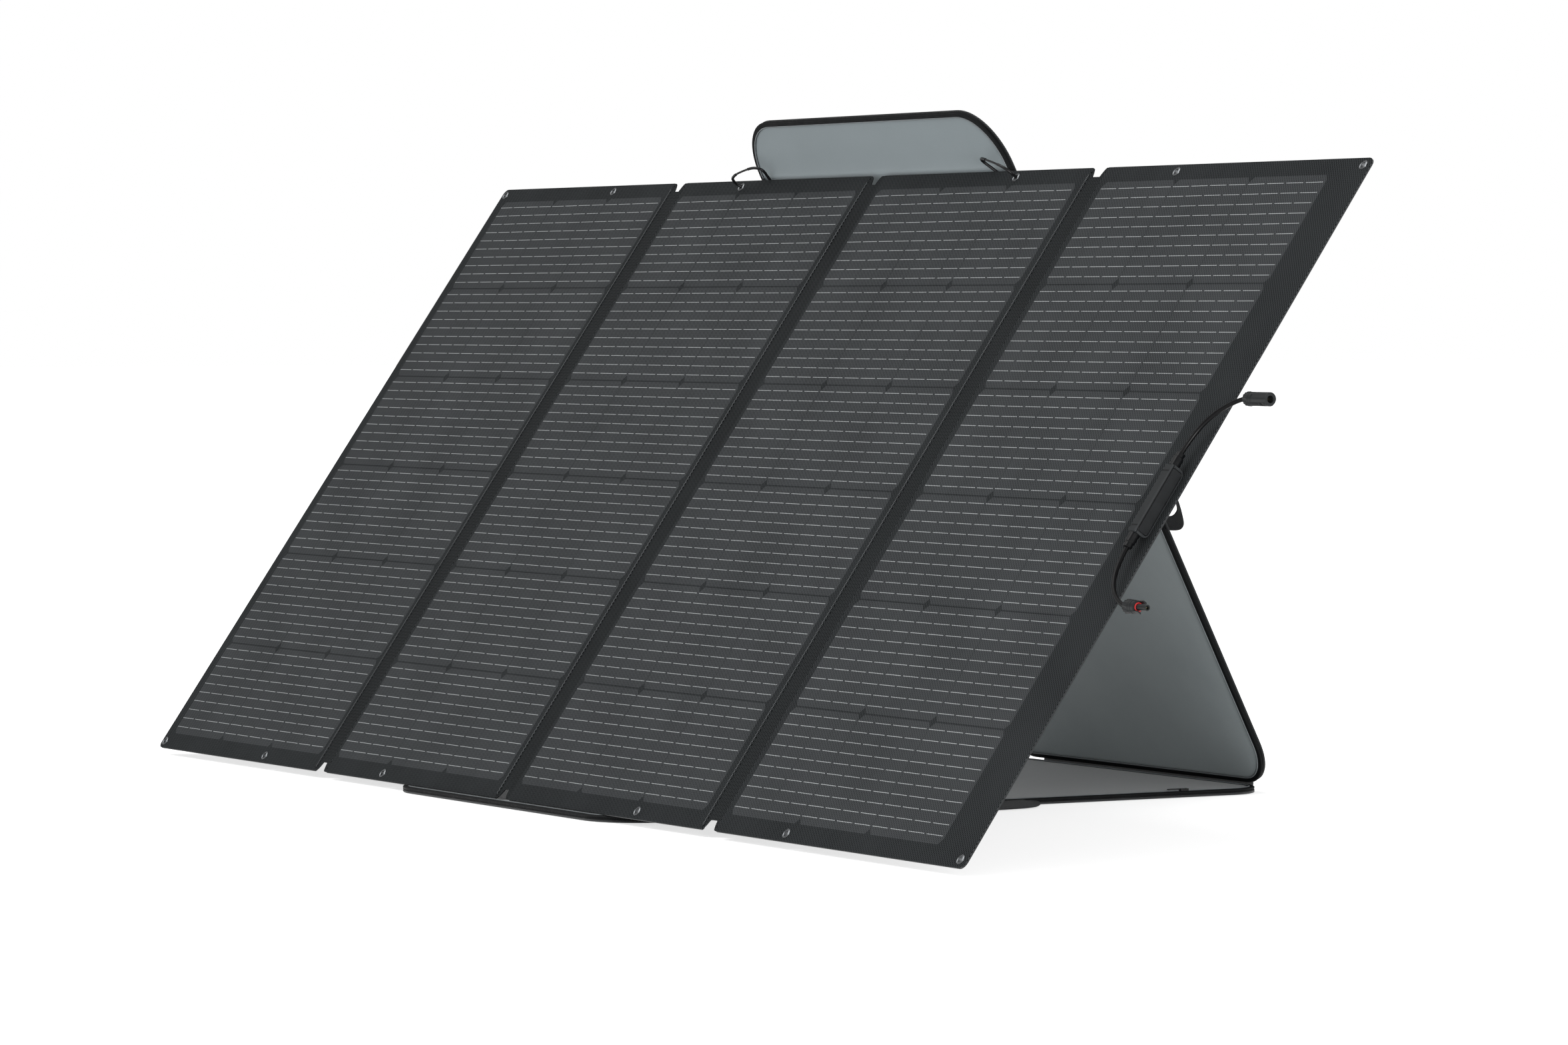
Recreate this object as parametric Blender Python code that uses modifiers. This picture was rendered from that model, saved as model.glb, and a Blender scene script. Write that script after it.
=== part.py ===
"""Folding solar panel that stands on its own carrying case.

Frame: +X to the panel's right as seen from the front, +Y to the rear, +Z up, metres.
The origin is on the floor, midway across the panel and midway between the case's front
edge and the back of its spine.

Three working frames keep the sizes simple, each an empty that its pieces hang on:
  panel frame  x across the panel from its middle, y up its face from the bottom edge,
               z out of its front face
  base frame   x across the case, y from the spine towards the front, z up
  leg frame    x across the case, y from the spine up the leg, z towards the panel
"""
import math

import bmesh
import bpy
from mathutils import Matrix, Vector

# ---- driving dimensions -------------------------------------------------------------
PANEL_WIDTH = 2.365            # unfolded
PANEL_HEIGHT = 1.058
PANEL_TILT = math.radians(55.0)
LEG_ANGLE = math.radians(63.05)    # between the leg and the floor

CASE_WIDTH = 0.693
CASE_LENGTH = 1.065
CASE_THICKNESS = 0.009         # one half, outer skin to rim
CASE_X = -0.031                # the case stands a little left of the panel's middle
HINGE_GAP = 0.002              # spine axis to the edge of each half
SPINE_REACH = 0.0125           # how far the spine stands behind its axis
PANEL_SETBACK = 0.011          # panel's bottom edge behind the case's front edge

GAP = 0.0003                   # between pieces that touch

# ---- panel layers, measured down from the front face ---------------------------------
FILM = 0.0007
BOARD_TOP = -0.0010
BOARD_BOTTOM = -0.0029
CELL_TOP = -0.0012
CELL_BOTTOM = -0.0015
POCKET_BOTTOM = -0.0018

FOLD_X = (-0.6069, -0.0290, 0.5545)
FOLD_HALF = 0.0172             # half the width of a fabric fold
NOTCH_HALF = (0.0060, 0.0055, 0.0090)
NOTCH_DEPTH = 0.0155
FOLD_AXIS_Z = -0.0009
FOLD_TOP = -0.0003
FOLD_THICKNESS = 0.0012
OUTER_RADIUS = 0.010
FOLD_CORNER_RADIUS = 0.003

CELL_LEFT = (-1.1593, -0.5829, -0.0035, 0.5845)     # left edge of each cell field
CELL_FIELD = (0.5215, 1.0060)
CELL_FIELD_Y = 0.0268
CELL_CHAMFER = 0.008
POCKET_MARGIN = 0.001

# ---- grommets ------------------------------------------------------------------------
GROMMET_X = (-1.1705, -0.8105, -0.4125, 0.3505, 0.7465, 1.1680)
GROMMET_Y = (0.0115, 1.0465)
GROMMET_PANEL = (0, 0, 1, 2, 3, 3)       # which panel each column sits on
SHEET_HOLE = 0.0050            # radii
GROMMET_BARREL = 0.0046
GROMMET_HOLE = 0.0040
GROMMET_FLANGE = 0.0070
FLANGE_THICKNESS = 0.0008

# ---- hooks ---------------------------------------------------------------------------
WIRE = 0.0018                  # radius
HOOK_TURN = math.radians(11.5)     # the hook's plane, from the panel's width
# corners of the hook: along the hook, out of the panel, corner radius
HOOK_CORNERS = (
    (0.0, 0.0285, 0.012),
    (0.0790, 0.0285, 0.012),
    (0.0690, -0.0045, 0.004),
    (0.0400, -0.0105, 0.020),
    (0.0, -0.0105, 0.0045),
)
GATE_SPAN = (0.018, 0.052)     # where the gate closes the hook's front side
GATE_RADIUS = 0.0015
GATE_CLEARANCE = 0.0005

# ---- junction box and leads ----------------------------------------------------------
BOX_SIZE = (0.017, 0.100, 0.0212)
BOX_AT = (1.1604, 0.5278)
BOX_FOOT_RADIUS = 0.008
LID = 0.0030
GLAND = ((0.0000, 0.00690), (0.0125, 0.00690), (0.0135, 0.00620), (0.0137, 0.00580),
         (0.0190, 0.00580), (0.0196, 0.00520))
GLAND_HEIGHT = 0.0140
CABLE = 0.0030                 # radius
# lead from the gland's mouth: out to the right, and away from the box along its length
LEAD_ROUTE = ((0.0, 0.0), (0.0006, 0.0090), (0.0027, 0.0205), (0.0065, 0.0345),
              (0.0130, 0.0475), (0.0228, 0.0595), (0.0352, 0.0692), (0.0492, 0.0768),
              (0.0620, 0.0815), (0.0712, 0.0832))
CONNECTOR_GAP = 0.0006

FABRIC_DARK = (0.020, 0.021, 0.022)
COLOURS = {
    "film": ((0.042, 0.045, 0.048), 0.55, 0.0),
    "cell": ((0.020, 0.022, 0.028), 0.25, 0.0),
    "board": ((0.030, 0.031, 0.033), 0.60, 0.0),
    "fold_fabric": (FABRIC_DARK, 0.85, 0.0),
    "steel": ((0.620, 0.630, 0.650), 0.25, 1.0),
    "hook": ((0.012, 0.012, 0.013), 0.25, 0.6),
    "box": ((0.035, 0.037, 0.040), 0.45, 0.0),
    "gland": ((0.010, 0.011, 0.012), 0.30, 0.0),
    "cable": ((0.008, 0.008, 0.009), 0.40, 0.0),
    "connector": ((0.022, 0.024, 0.026), 0.40, 0.0),
    "contact": ((0.700, 0.560, 0.320), 0.30, 1.0),
    "seal": ((0.600, 0.020, 0.020), 0.45, 0.0),
    "circuit": ((0.020, 0.110, 0.050), 0.50, 0.0),
    "shell": (FABRIC_DARK, 0.90, 0.0),
    "binding": ((0.012, 0.013, 0.014), 0.75, 0.0),
    "lining": ((0.150, 0.165, 0.175), 0.70, 0.0),
    "webbing": ((0.015, 0.016, 0.017), 0.80, 0.0),
}

for old in list(bpy.data.objects):
    bpy.data.objects.remove(old, do_unlink=True)

PARTS = bpy.data.collections.new("folding_solar_panel")
CUTTERS = bpy.data.collections.new("cutters")
for collection in (PARTS, CUTTERS):
    bpy.context.scene.collection.children.link(collection)


# ---- small helpers -------------------------------------------------------------------
def material(name):
    found = bpy.data.materials.get(name)
    if found:
        return found
    made = bpy.data.materials.new(name)
    made.use_nodes = True
    colour, roughness, metallic = COLOURS[name]
    shader = made.node_tree.nodes["Principled BSDF"]
    shader.inputs["Base Color"].default_value = (*colour, 1.0)
    shader.inputs["Roughness"].default_value = roughness
    shader.inputs["Metallic"].default_value = metallic
    made.diffuse_color = (*colour, 1.0)
    return made


def empty(name, location, rotation=(0.0, 0.0, 0.0), parent=None):
    made = bpy.data.objects.new(name, None)
    made.location = location
    made.rotation_euler = rotation
    made.parent = parent
    PARTS.objects.link(made)
    return made


def add(name, data, finish, holder, at=(0.0, 0.0, 0.0), rotation=(0.0, 0.0, 0.0)):
    """Make an object of mesh or curve data; at is in the holder's working frame."""
    made = bpy.data.objects.new(name, data)
    made.parent = holder
    made.location = Vector(at) - Vector(holder.get("offset", (0.0, 0.0, 0.0)))
    made.rotation_euler = rotation
    data.materials.clear()
    data.materials.append(material(finish))
    PARTS.objects.link(made)
    return made


def arc(centre, radius, start, end, steps):
    return [
        (centre[0] + radius * math.cos(start + (end - start) * i / steps),
         centre[1] + radius * math.sin(start + (end - start) * i / steps))
        for i in range(steps + 1)
    ]


def circle(centre, radius, steps=16):
    return arc(centre, radius, 0.0, math.tau, steps)[:-1]


def rounded(corners, steps=6):
    """Round a closed outline of (x, y, radius) corners."""
    points = []
    count = len(corners)
    for i, (x, y, radius) in enumerate(corners):
        here = Vector((x, y))
        if radius <= 0.0:
            points.append((x, y))
            continue
        back = (Vector(corners[i - 1][:2]) - here).normalized()
        ahead = (Vector(corners[(i + 1) % count][:2]) - here).normalized()
        half = back.angle(ahead) / 2.0
        centre = here + (back + ahead).normalized() * (radius / math.sin(half))
        first = here + back * (radius / math.tan(half)) - centre
        last = here + ahead * (radius / math.tan(half)) - centre
        turn = first.angle_signed(last)
        for k in range(steps + 1):
            spoke = Matrix.Rotation(-turn * k / steps, 2) @ first
            points.append(tuple(centre + spoke))
    return points


def box_outline(left, right, bottom, top, radii=(0.0, 0.0, 0.0, 0.0)):
    """Corners of a rectangle, counter-clockwise from bottom left, each with its radius."""
    places = ((left, bottom), (right, bottom), (right, top), (left, top))
    return [(x, y, r) for (x, y), r in zip(places, radii)]


def plate_data(name, outline, half_thickness, holes=()):
    """A flat outline with holes, given thickness."""
    data = bpy.data.curves.new(name, "CURVE")
    data.dimensions = "2D"
    data.fill_mode = "BOTH"
    data.extrude = half_thickness
    for ring in (outline, *holes):
        spline = data.splines.new("POLY")
        spline.points.add(len(ring) - 1)
        for point, (x, y) in zip(spline.points, ring):
            point.co = (x, y, 0.0, 1.0)
        spline.use_cyclic_u = True
    return data


def plate(name, outline, bottom, top, finish, holder, holes=(), **place):
    data = plate_data(name, outline, (top - bottom) / 2.0, holes)
    x, y = place.get("at", (0.0, 0.0))
    return add(name, data, finish, holder, (x, y, (top + bottom) / 2.0))


def weld(target):
    made = target.modifiers.new("weld", "WELD")
    made.merge_threshold = 0.00005


def soften(target, width, segments=2, angle=40.0):
    made = target.modifiers.new("edges", "BEVEL")
    made.width = width
    made.segments = segments
    made.limit_method = "ANGLE"
    made.angle_limit = math.radians(angle)
    made.use_clamp_overlap = True


def as_mesh(target):
    """Turn a curve object into a welded mesh object that Booleans can use."""
    bpy.context.view_layer.update()
    seen = target.evaluated_get(bpy.context.evaluated_depsgraph_get())
    mesh = bpy.data.meshes.new_from_object(seen)
    cleaned = bmesh.new()
    cleaned.from_mesh(mesh)
    bmesh.ops.remove_doubles(cleaned, verts=cleaned.verts, dist=0.00001)
    cleaned.to_mesh(mesh)
    cleaned.free()
    name, holder, place = target.name, target.parent, target.matrix_world.copy()
    bpy.data.objects.remove(target, do_unlink=True)
    made = bpy.data.objects.new(name, mesh)
    made.parent = holder
    made.matrix_world = place
    PARTS.objects.link(made)
    return made


def combine(target, other, operation):
    """Boolean with a hidden cutter."""
    for home in list(other.users_collection):
        home.objects.unlink(other)
    CUTTERS.objects.link(other)
    other.hide_render = True
    other.display_type = "WIRE"
    made = target.modifiers.new(operation.lower(), "BOOLEAN")
    made.operation = operation
    made.solver = "EXACT"
    made.object = other


def block(name, size, finish, holder, at):
    """A box of the given size, centred on at."""
    shape = bmesh.new()
    bmesh.ops.create_cube(shape, size=1.0)
    bmesh.ops.scale(shape, vec=size, verts=shape.verts)
    mesh = bpy.data.meshes.new(name)
    shape.to_mesh(mesh)
    shape.free()
    return add(name, mesh, finish, holder, at)


def turned(name, profile, finish, holder, at, rotation=(0.0, 0.0, 0.0), steps=20,
           closed=False):
    """Turn a profile of (height, radius) about its own Z axis, top to bottom."""
    mesh = bpy.data.meshes.new(name)
    count = len(profile)
    edges = [(i, i + 1) for i in range(count - 1)]
    if closed:
        edges.append((count - 1, 0))
    mesh.from_pydata([(radius, 0.0, height) for height, radius in profile], edges, [])
    made = add(name, mesh, finish, holder, at, rotation)
    screw = made.modifiers.new("turn", "SCREW")
    screw.steps = steps
    screw.render_steps = steps
    screw.use_merge_vertices = True
    screw.merge_threshold = 0.00005
    screw.use_smooth_shade = True
    return made


def ribbon(name, path, across, thickness, finish, holder):
    """A strap: a surface across a path, given thickness to both sides."""
    shape = bmesh.new()
    rows = []
    for point, half in zip(path, across):
        centre, side = Vector(point), Vector(half)
        rows.append([shape.verts.new(centre + side * k) for k in (-1.0, 0.0, 1.0)])
    for first, second in zip(rows, rows[1:]):
        for k in range(2):
            shape.faces.new((first[k], first[k + 1], second[k + 1], second[k]))
    mesh = bpy.data.meshes.new(name)
    shape.to_mesh(mesh)
    shape.free()
    made = add(name, mesh, finish, holder)
    thicken = made.modifiers.new("thickness", "SOLIDIFY")
    thicken.thickness = thickness
    thicken.offset = 0.0
    return made


def smooth_curve(points, count):
    """Points spaced evenly along a Catmull-Rom curve through the given ones."""
    given = [Vector(p) for p in points]
    ends = [given[0] * 2 - given[1], *given, given[-1] * 2 - given[-2]]
    dense = []
    steps = 12
    for a, b, c, d in zip(ends, ends[1:], ends[2:], ends[3:]):
        for k in range(steps):
            t = k / steps
            dense.append(0.5 * (2 * b + (c - a) * t + (2 * a - 5 * b + 4 * c - d) * t * t
                                + (3 * b - a - 3 * c + d) * t ** 3))
    dense.append(given[-1])
    lengths = [0.0]
    for a, b in zip(dense, dense[1:]):
        lengths.append(lengths[-1] + (b - a).length)
    spaced = []
    k = 0
    for i in range(count):
        want = lengths[-1] * i / (count - 1)
        while k < len(dense) - 2 and lengths[k + 1] < want:
            k += 1
        share = (want - lengths[k]) / (lengths[k + 1] - lengths[k])
        spaced.append(dense[k].lerp(dense[k + 1], min(1.0, share)))
    return spaced


def tube(name, points, radius, finish, holder, resolution=2, closed=False):
    data = bpy.data.curves.new(name, "CURVE")
    data.dimensions = "3D"
    data.bevel_depth = radius
    data.bevel_resolution = resolution
    data.use_fill_caps = True
    spline = data.splines.new("POLY")
    spline.points.add(len(points) - 1)
    for slot, point in zip(spline.points, points):
        slot.co = (*point, 1.0)
    spline.use_cyclic_u = closed
    return add(name, data, finish, holder)


# ---- working frames ------------------------------------------------------------------
DEPTH = HINGE_GAP + CASE_LENGTH + SPINE_REACH
HINGE_Y = DEPTH / 2.0 - SPINE_REACH
HINGE_Z = CASE_THICKNESS
PANEL_Y = -DEPTH / 2.0 + PANEL_SETBACK
PANEL_Z = CASE_THICKNESS + GAP - BOARD_BOTTOM * math.cos(PANEL_TILT)
PIVOT_Z = (BOARD_BOTTOM + 0.0) / 2.0

base = empty("base_frame", (CASE_X, HINGE_Y, HINGE_Z), (0.0, 0.0, math.pi))
leg = empty("leg_axis", (CASE_X, HINGE_Y, HINGE_Z), (math.pi - LEG_ANGLE, 0.0, 0.0))
panel = empty("panel_frame", (0.0, PANEL_Y, PANEL_Z), (PANEL_TILT, 0.0, 0.0))


def panel_holder(name, x, y, z):
    """An empty on a joint axis, whose pieces are still placed in the panel frame."""
    made = empty(name, (x, y, z), parent=panel)
    made["offset"] = (x, y, z)
    return made


centre = panel_holder("panel_pivot", CASE_X, GROMMET_Y[1], PIVOT_Z)
left_wing = panel_holder("left_fold_axis", FOLD_X[0], 0.0, FOLD_AXIS_Z)
right_wing = panel_holder("right_fold_axis", FOLD_X[2], 0.0, FOLD_AXIS_Z)
on_leg = panel_holder("hook_frame", 0.0, 0.0, 0.0)
PANEL_HOLDERS = (left_wing, centre, centre, right_wing)


# ---- the four solar panels -----------------------------------------------------------
def panel_edges(index):
    half = PANEL_WIDTH / 2.0
    left = -half if index == 0 else FOLD_X[index - 1] + FOLD_HALF
    right = half if index == 3 else FOLD_X[index] - FOLD_HALF
    return left, right


def panel_sheet(index):
    """Outline and grommet holes of one panel."""
    left, right = panel_edges(index)
    at_left = OUTER_RADIUS if index == 0 else FOLD_CORNER_RADIUS
    at_right = OUTER_RADIUS if index == 3 else FOLD_CORNER_RADIUS
    outline = rounded(box_outline(left, right, 0.0, PANEL_HEIGHT,
                                  (at_left, at_right, at_right, at_left)), 5)
    holes = [circle((x, y), SHEET_HOLE)
             for x, home in zip(GROMMET_X, GROMMET_PANEL) if home == index
             for y in GROMMET_Y]
    return outline, holes


def cell_outline(index, margin=0.0):
    """A cell field with its corner cells' cut corners."""
    left = CELL_LEFT[index] - margin
    right = CELL_LEFT[index] + CELL_FIELD[0] + margin
    bottom = CELL_FIELD_Y - margin
    top = CELL_FIELD_Y + CELL_FIELD[1] + margin
    cut = CELL_CHAMFER
    return [(left + cut, bottom), (right - cut, bottom), (right, bottom + cut),
            (right, top - cut), (right - cut, top), (left + cut, top),
            (left, top - cut), (left, bottom + cut)]


def make_panel(index):
    holder = PANEL_HOLDERS[index]
    number = index + 1
    outline, holes = panel_sheet(index)
    plate(f"front_film_{number}", outline, -FILM, 0.0, "film", holder, holes)
    plate(f"cell_sheet_{number}", cell_outline(index), CELL_BOTTOM, CELL_TOP, "cell",
          holder)
    board = as_mesh(plate(f"backing_board_{number}", outline, BOARD_BOTTOM, BOARD_TOP,
                          "board", holder, holes))
    pocket = as_mesh(plate(f"pocket_{number}", cell_outline(index, POCKET_MARGIN),
                           POCKET_BOTTOM, -POCKET_BOTTOM, "board", holder))
    combine(board, pocket, "DIFFERENCE")


def make_fold(index):
    """Fabric hinge between two panels, notched at both ends."""
    middle = FOLD_X[index]
    flat = NOTCH_HALF[index]
    half = FOLD_HALF - GAP
    shoulder = flat + 0.0035
    corners = []
    for side, edge, inward in ((1.0, 0.0, 1.0), (-1.0, PANEL_HEIGHT, -1.0)):
        corners += [
            (middle + side * -half, edge + inward * 0.0006, 0.0),
            (middle + side * -shoulder, edge + inward * 0.0022, 0.003),
            (middle + side * -flat, edge + inward * NOTCH_DEPTH, 0.002),
            (middle + side * flat, edge + inward * NOTCH_DEPTH, 0.002),
            (middle + side * shoulder, edge + inward * 0.0022, 0.003),
            (middle + side * half, edge + inward * 0.0006, 0.0),
        ]
    holder = centre
    plate(f"fold_fabric_{index + 1}", rounded(corners, 3), FOLD_TOP - FOLD_THICKNESS,
          FOLD_TOP, "fold_fabric", holder)


def make_grommets():
    """Spool-shaped eyelets through film and board, one node each."""
    front = GAP
    back = BOARD_BOTTOM - GAP
    round_off = 0.0003
    profile = [
        (front + FLANGE_THICKNESS, GROMMET_HOLE),
        (front + FLANGE_THICKNESS, GROMMET_FLANGE - round_off),
        (front + FLANGE_THICKNESS - round_off, GROMMET_FLANGE),
        (front, GROMMET_FLANGE),
        (front, GROMMET_BARREL),
        (back, GROMMET_BARREL),
        (back, GROMMET_FLANGE),
        (back - FLANGE_THICKNESS + round_off, GROMMET_FLANGE),
        (back - FLANGE_THICKNESS, GROMMET_FLANGE - round_off),
        (back - FLANGE_THICKNESS, GROMMET_HOLE),
    ]
    for column, (x, home) in enumerate(zip(GROMMET_X, GROMMET_PANEL)):
        for row, y in zip(("lower", "upper"), GROMMET_Y):
            turned(f"grommet_{row}_{column + 1}", profile, "steel", PANEL_HOLDERS[home],
                   (x, y, 0.0), steps=16, closed=True)


# ---- junction box, leads and connectors ----------------------------------------------
def make_junction_box():
    width, length, height = BOX_SIZE
    x, y = BOX_AT
    wall = 0.0015
    lid_bottom = height - LID
    # the tub is a side profile with rounded feet, drawn on edge and as thick as the box
    side = rounded(box_outline(-length / 2, length / 2, GAP, lid_bottom - GAP,
                               (BOX_FOOT_RADIUS, BOX_FOOT_RADIUS, 0.0, 0.0)))
    data = plate_data("junction_box_body", side, width / 2.0)
    body = as_mesh(add("junction_box_body", data, "box", right_wing, (x, y, 0.0),
                       (math.pi / 2, 0.0, math.pi / 2)))
    inner_height = lid_bottom - 0.004
    hollow = block("box_hollow", (width - 2 * wall, length - 2 * BOX_FOOT_RADIUS,
                                  inner_height), "box", right_wing,
                   (x, y, 0.004 + inner_height / 2.0))
    combine(body, hollow, "DIFFERENCE")
    lid = block("junction_box_lid", (width, length, LID), "box", right_wing,
                (x, y, height - LID / 2.0))
    soften(lid, 0.0012)
    board_size = (0.011, 0.076, 0.0016)
    board_z = 0.004 + GAP + board_size[2] / 2.0
    circuit = block("diode_board", board_size, "circuit", right_wing, (x, y, board_z))
    for k in (-1, 0, 1):
        diode = block(f"diode_{k + 2}", (0.0070, 0.0100, 0.0060), "circuit", right_wing,
                      (x, y + 0.024 * k, board_z + 0.0034))
        combine(circuit, diode, "UNION")
    for end, sign in (("lower", -1.0), ("upper", 1.0)):
        profile = [(height_, radius) for height_, radius in reversed(GLAND)]
        turned(f"cable_gland_{end}", [(GLAND[-1][0], 0.0), *profile, (0.0, 0.0)], "gland",
               right_wing, (x, y + sign * (length / 2.0 + GAP), GLAND_HEIGHT),
               (-sign * math.pi / 2, 0.0, 0.0))


def lead_points(sign):
    """The route of one lead, in the panel frame."""
    x, y = BOX_AT
    start = y + sign * (BOX_SIZE[1] / 2.0 + GLAND[-1][0] + 2 * GAP)
    return [(x + out, start + sign * along, GLAND_HEIGHT) for out, along in LEAD_ROUTE]


def make_leads():
    for end, sign in (("lower", -1.0), ("upper", 1.0)):
        tube(f"lead_{end}", smooth_curve(lead_points(sign), 12), CABLE, "cable",
             right_wing)


TO_RIGHT = (0.0, math.pi / 2, 0.0)      # turns a piece's own Z along the panel's x


def make_female_connector():
    x, y, z = lead_points(1.0)[-1]
    x += CONNECTOR_GAP
    nut = [(0.0140, 0.0), (0.0140, 0.0094), (0.0110, 0.0097), (0.0030, 0.0092),
           (0.0, 0.0060), (0.0, 0.0)]
    turned("socket_nut", nut, "connector", right_wing, (x, y, z), TO_RIGHT, steps=12)
    start = 0.0140 + GAP
    body = [(0.0080, 0.0), (0.0080, 0.0045), (0.0380, 0.0045), (0.0380, 0.0083),
            (0.0370, 0.0088), (0.0, 0.0088), (0.0, 0.0)]
    case = turned("socket_body", body, "connector", right_wing, (x + start, y, z),
                  TO_RIGHT, steps=20)
    for number, sign in ((1, -1.0), (2, 1.0)):
        window = block(f"latch_window_{number}", (0.0060, 0.0028, 0.0070), "connector",
                       right_wing, (x + start + 0.0270, y + sign * 0.0080, z))
        combine(case, window, "DIFFERENCE")
    barrel = [(0.0040, 0.0), (0.0040, 0.0014), (0.0110, 0.0014), (0.0110, 0.0024),
              (0.0, 0.0024), (0.0, 0.0)]
    turned("socket_contact", barrel, "contact", right_wing,
           (x + start + 0.0080 + GAP, y, z), TO_RIGHT, steps=12)


def make_male_connector():
    x, y, z = lead_points(-1.0)[-1]
    x += CONNECTOR_GAP
    nut = [(0.0150, 0.0), (0.0150, 0.0094), (0.0120, 0.0097), (0.0030, 0.0092),
           (0.0, 0.0060), (0.0, 0.0)]
    turned("plug_nut", nut, "connector", right_wing, (x, y, z), TO_RIGHT, steps=12)
    start = 0.0150 + GAP
    # collar, then the long nose that the red seal sits on, with a bore for the pin
    body = [(0.0180, 0.0), (0.0180, 0.0020), (0.0320, 0.0020), (0.0320, 0.0036),
            (0.0310, 0.0040), (0.0105, 0.0040), (0.0100, 0.0080), (0.0, 0.0088),
            (0.0, 0.0)]
    case = turned("plug_body", body, "connector", right_wing, (x + start, y, z), TO_RIGHT,
                  steps=20)
    for number, sign in ((1, -1.0), (2, 1.0)):
        prong = block(f"latch_prong_{number}", (0.0140, 0.0018, 0.0060), "connector",
                      right_wing, (x + start + 0.0130, y + sign * 0.0071, z))
        combine(case, prong, "UNION")
    seal_radius, seal_wire = 0.0051, 0.0008
    shape = circle((0.0, seal_radius), seal_wire, 8)
    turned("plug_seal", shape, "seal", right_wing,
           (x + start + 0.0105 + seal_wire + 2 * GAP, y, z), TO_RIGHT, steps=16,
           closed=True)
    pin = [(0.0100, 0.0), (0.0100, 0.0008), (0.0090, 0.0013), (0.0, 0.0013), (0.0, 0.0)]
    turned("plug_pin", pin, "contact", right_wing, (x + start + 0.0180 + GAP, y, z),
           TO_RIGHT, steps=10)


# ---- carrying case -------------------------------------------------------------------
CASE_RADII = (0.065, 0.065, 0.085, 0.085)      # at the spine, then at the free end
RIM_WIDTH = 0.0075
SKIN = 0.003
LINING_DROP = 0.0005           # the lining lies just under the rim


def case_outline(inset):
    half = CASE_WIDTH / 2.0 - inset
    low = HINGE_GAP + inset
    high = HINGE_GAP + CASE_LENGTH - inset
    radii = [max(r - inset, 0.002) for r in CASE_RADII]
    return rounded(box_outline(-half, half, low, high, radii), 10)


def make_case_half(name, holder):
    bottom = -CASE_THICKNESS
    skin_top = bottom + SKIN
    shell = plate(f"{name}_shell", case_outline(0.0), bottom, skin_top, "shell", holder)
    weld(shell)
    soften(shell, 0.0012)
    rim = plate(f"{name}_rim", case_outline(0.0), skin_top + GAP, 0.0, "binding", holder,
                [case_outline(RIM_WIDTH)])
    weld(rim)
    soften(rim, 0.0010)
    plate(f"{name}_lining", case_outline(RIM_WIDTH + GAP), skin_top + GAP, -LINING_DROP,
          "lining", holder)


def make_spine():
    """Fabric strip from under the base's rear edge up behind the leg's foot."""
    thickness = 0.0012
    reach = SPINE_REACH - thickness / 2.0
    floor = thickness / 2.0 - HINGE_Z
    turn = 0.008
    profile = [(-HINGE_GAP + GAP, floor)]
    profile += arc((reach - turn, floor + turn), turn, -math.pi / 2, 0.0, 5)
    profile.append((reach, 0.008))
    shape = bmesh.new()
    half = CASE_WIDTH / 2.0 - CASE_RADII[0] - 0.004
    rows = [[shape.verts.new((x, -y, z)) for x in (-half, half)] for y, z in profile]
    for first, second in zip(rows, rows[1:]):
        shape.faces.new((first[0], first[1], second[1], second[0]))
    mesh = bpy.data.meshes.new("spine_strip")
    shape.to_mesh(mesh)
    shape.free()
    strip = add("spine_strip", mesh, "binding", base)
    thicken = strip.modifiers.new("thickness", "SOLIDIFY")
    thicken.thickness = thickness
    thicken.offset = 0.0


STRAP_HALF = 0.0115
STRAP_THICKNESS = 0.0018
STRAP_TWIST = math.radians(26.0)
BASE_HANDLE_HEIGHT = 0.0064        # its middle line, above the floor
UP = Vector((0.0, 0.0, 1.0))
# carrying handle: out from the case's long side, and along the case
HANDLE_ROUTE = (
    (0.330, 0.4195), (0.352, 0.4190), (0.370, 0.4215), (0.3835, 0.4300),
    (0.3905, 0.4440), (0.3945, 0.4620), (0.3975, 0.4900), (0.3985, 0.5380),
    (0.3975, 0.5860), (0.3945, 0.6140), (0.3905, 0.6320), (0.3835, 0.6460),
    (0.370, 0.6545), (0.352, 0.6570), (0.330, 0.6565),
)


def make_handle(name, side, start, height, lean, holder):
    """Strap out from the case's long side and back, its outer edge leaning up or down."""
    stations = [y for _, y in HANDLE_ROUTE]
    route = [(start, stations[0]), *HANDLE_ROUTE[1:-1], (start, stations[-1])]
    path = smooth_curve([(side * x, y, height) for x, y in route], 40)
    across = []
    for before, after in zip([path[0], *path], [*path[1:], path[-1]]):
        run = (after - before).normalized()
        turn = lean * run.y ** 2
        outward = Vector((run.y, -run.x, 0.0)).normalized() * side
        across.append((outward * math.cos(turn) + UP * math.sin(turn)) * STRAP_HALF)
    # the ends are square to the case
    across[0] = Vector((0.0, -STRAP_HALF, 0.0))
    across[-1] = Vector((0.0, STRAP_HALF, 0.0))
    ribbon(name, path, across, STRAP_THICKNESS, "webbing", holder)


def make_handles():
    """One behind the leg's long side, and one from the base's side down to the floor."""
    behind = -CASE_THICKNESS - GAP - STRAP_THICKNESS / 2.0
    make_handle("leg_handle", 1.0, HANDLE_ROUTE[0][0], behind, STRAP_TWIST, leg)
    make_handle("base_handle", -1.0, CASE_WIDTH / 2.0 + GAP,
                -CASE_THICKNESS + BASE_HANDLE_HEIGHT, -STRAP_TWIST, base)


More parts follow.
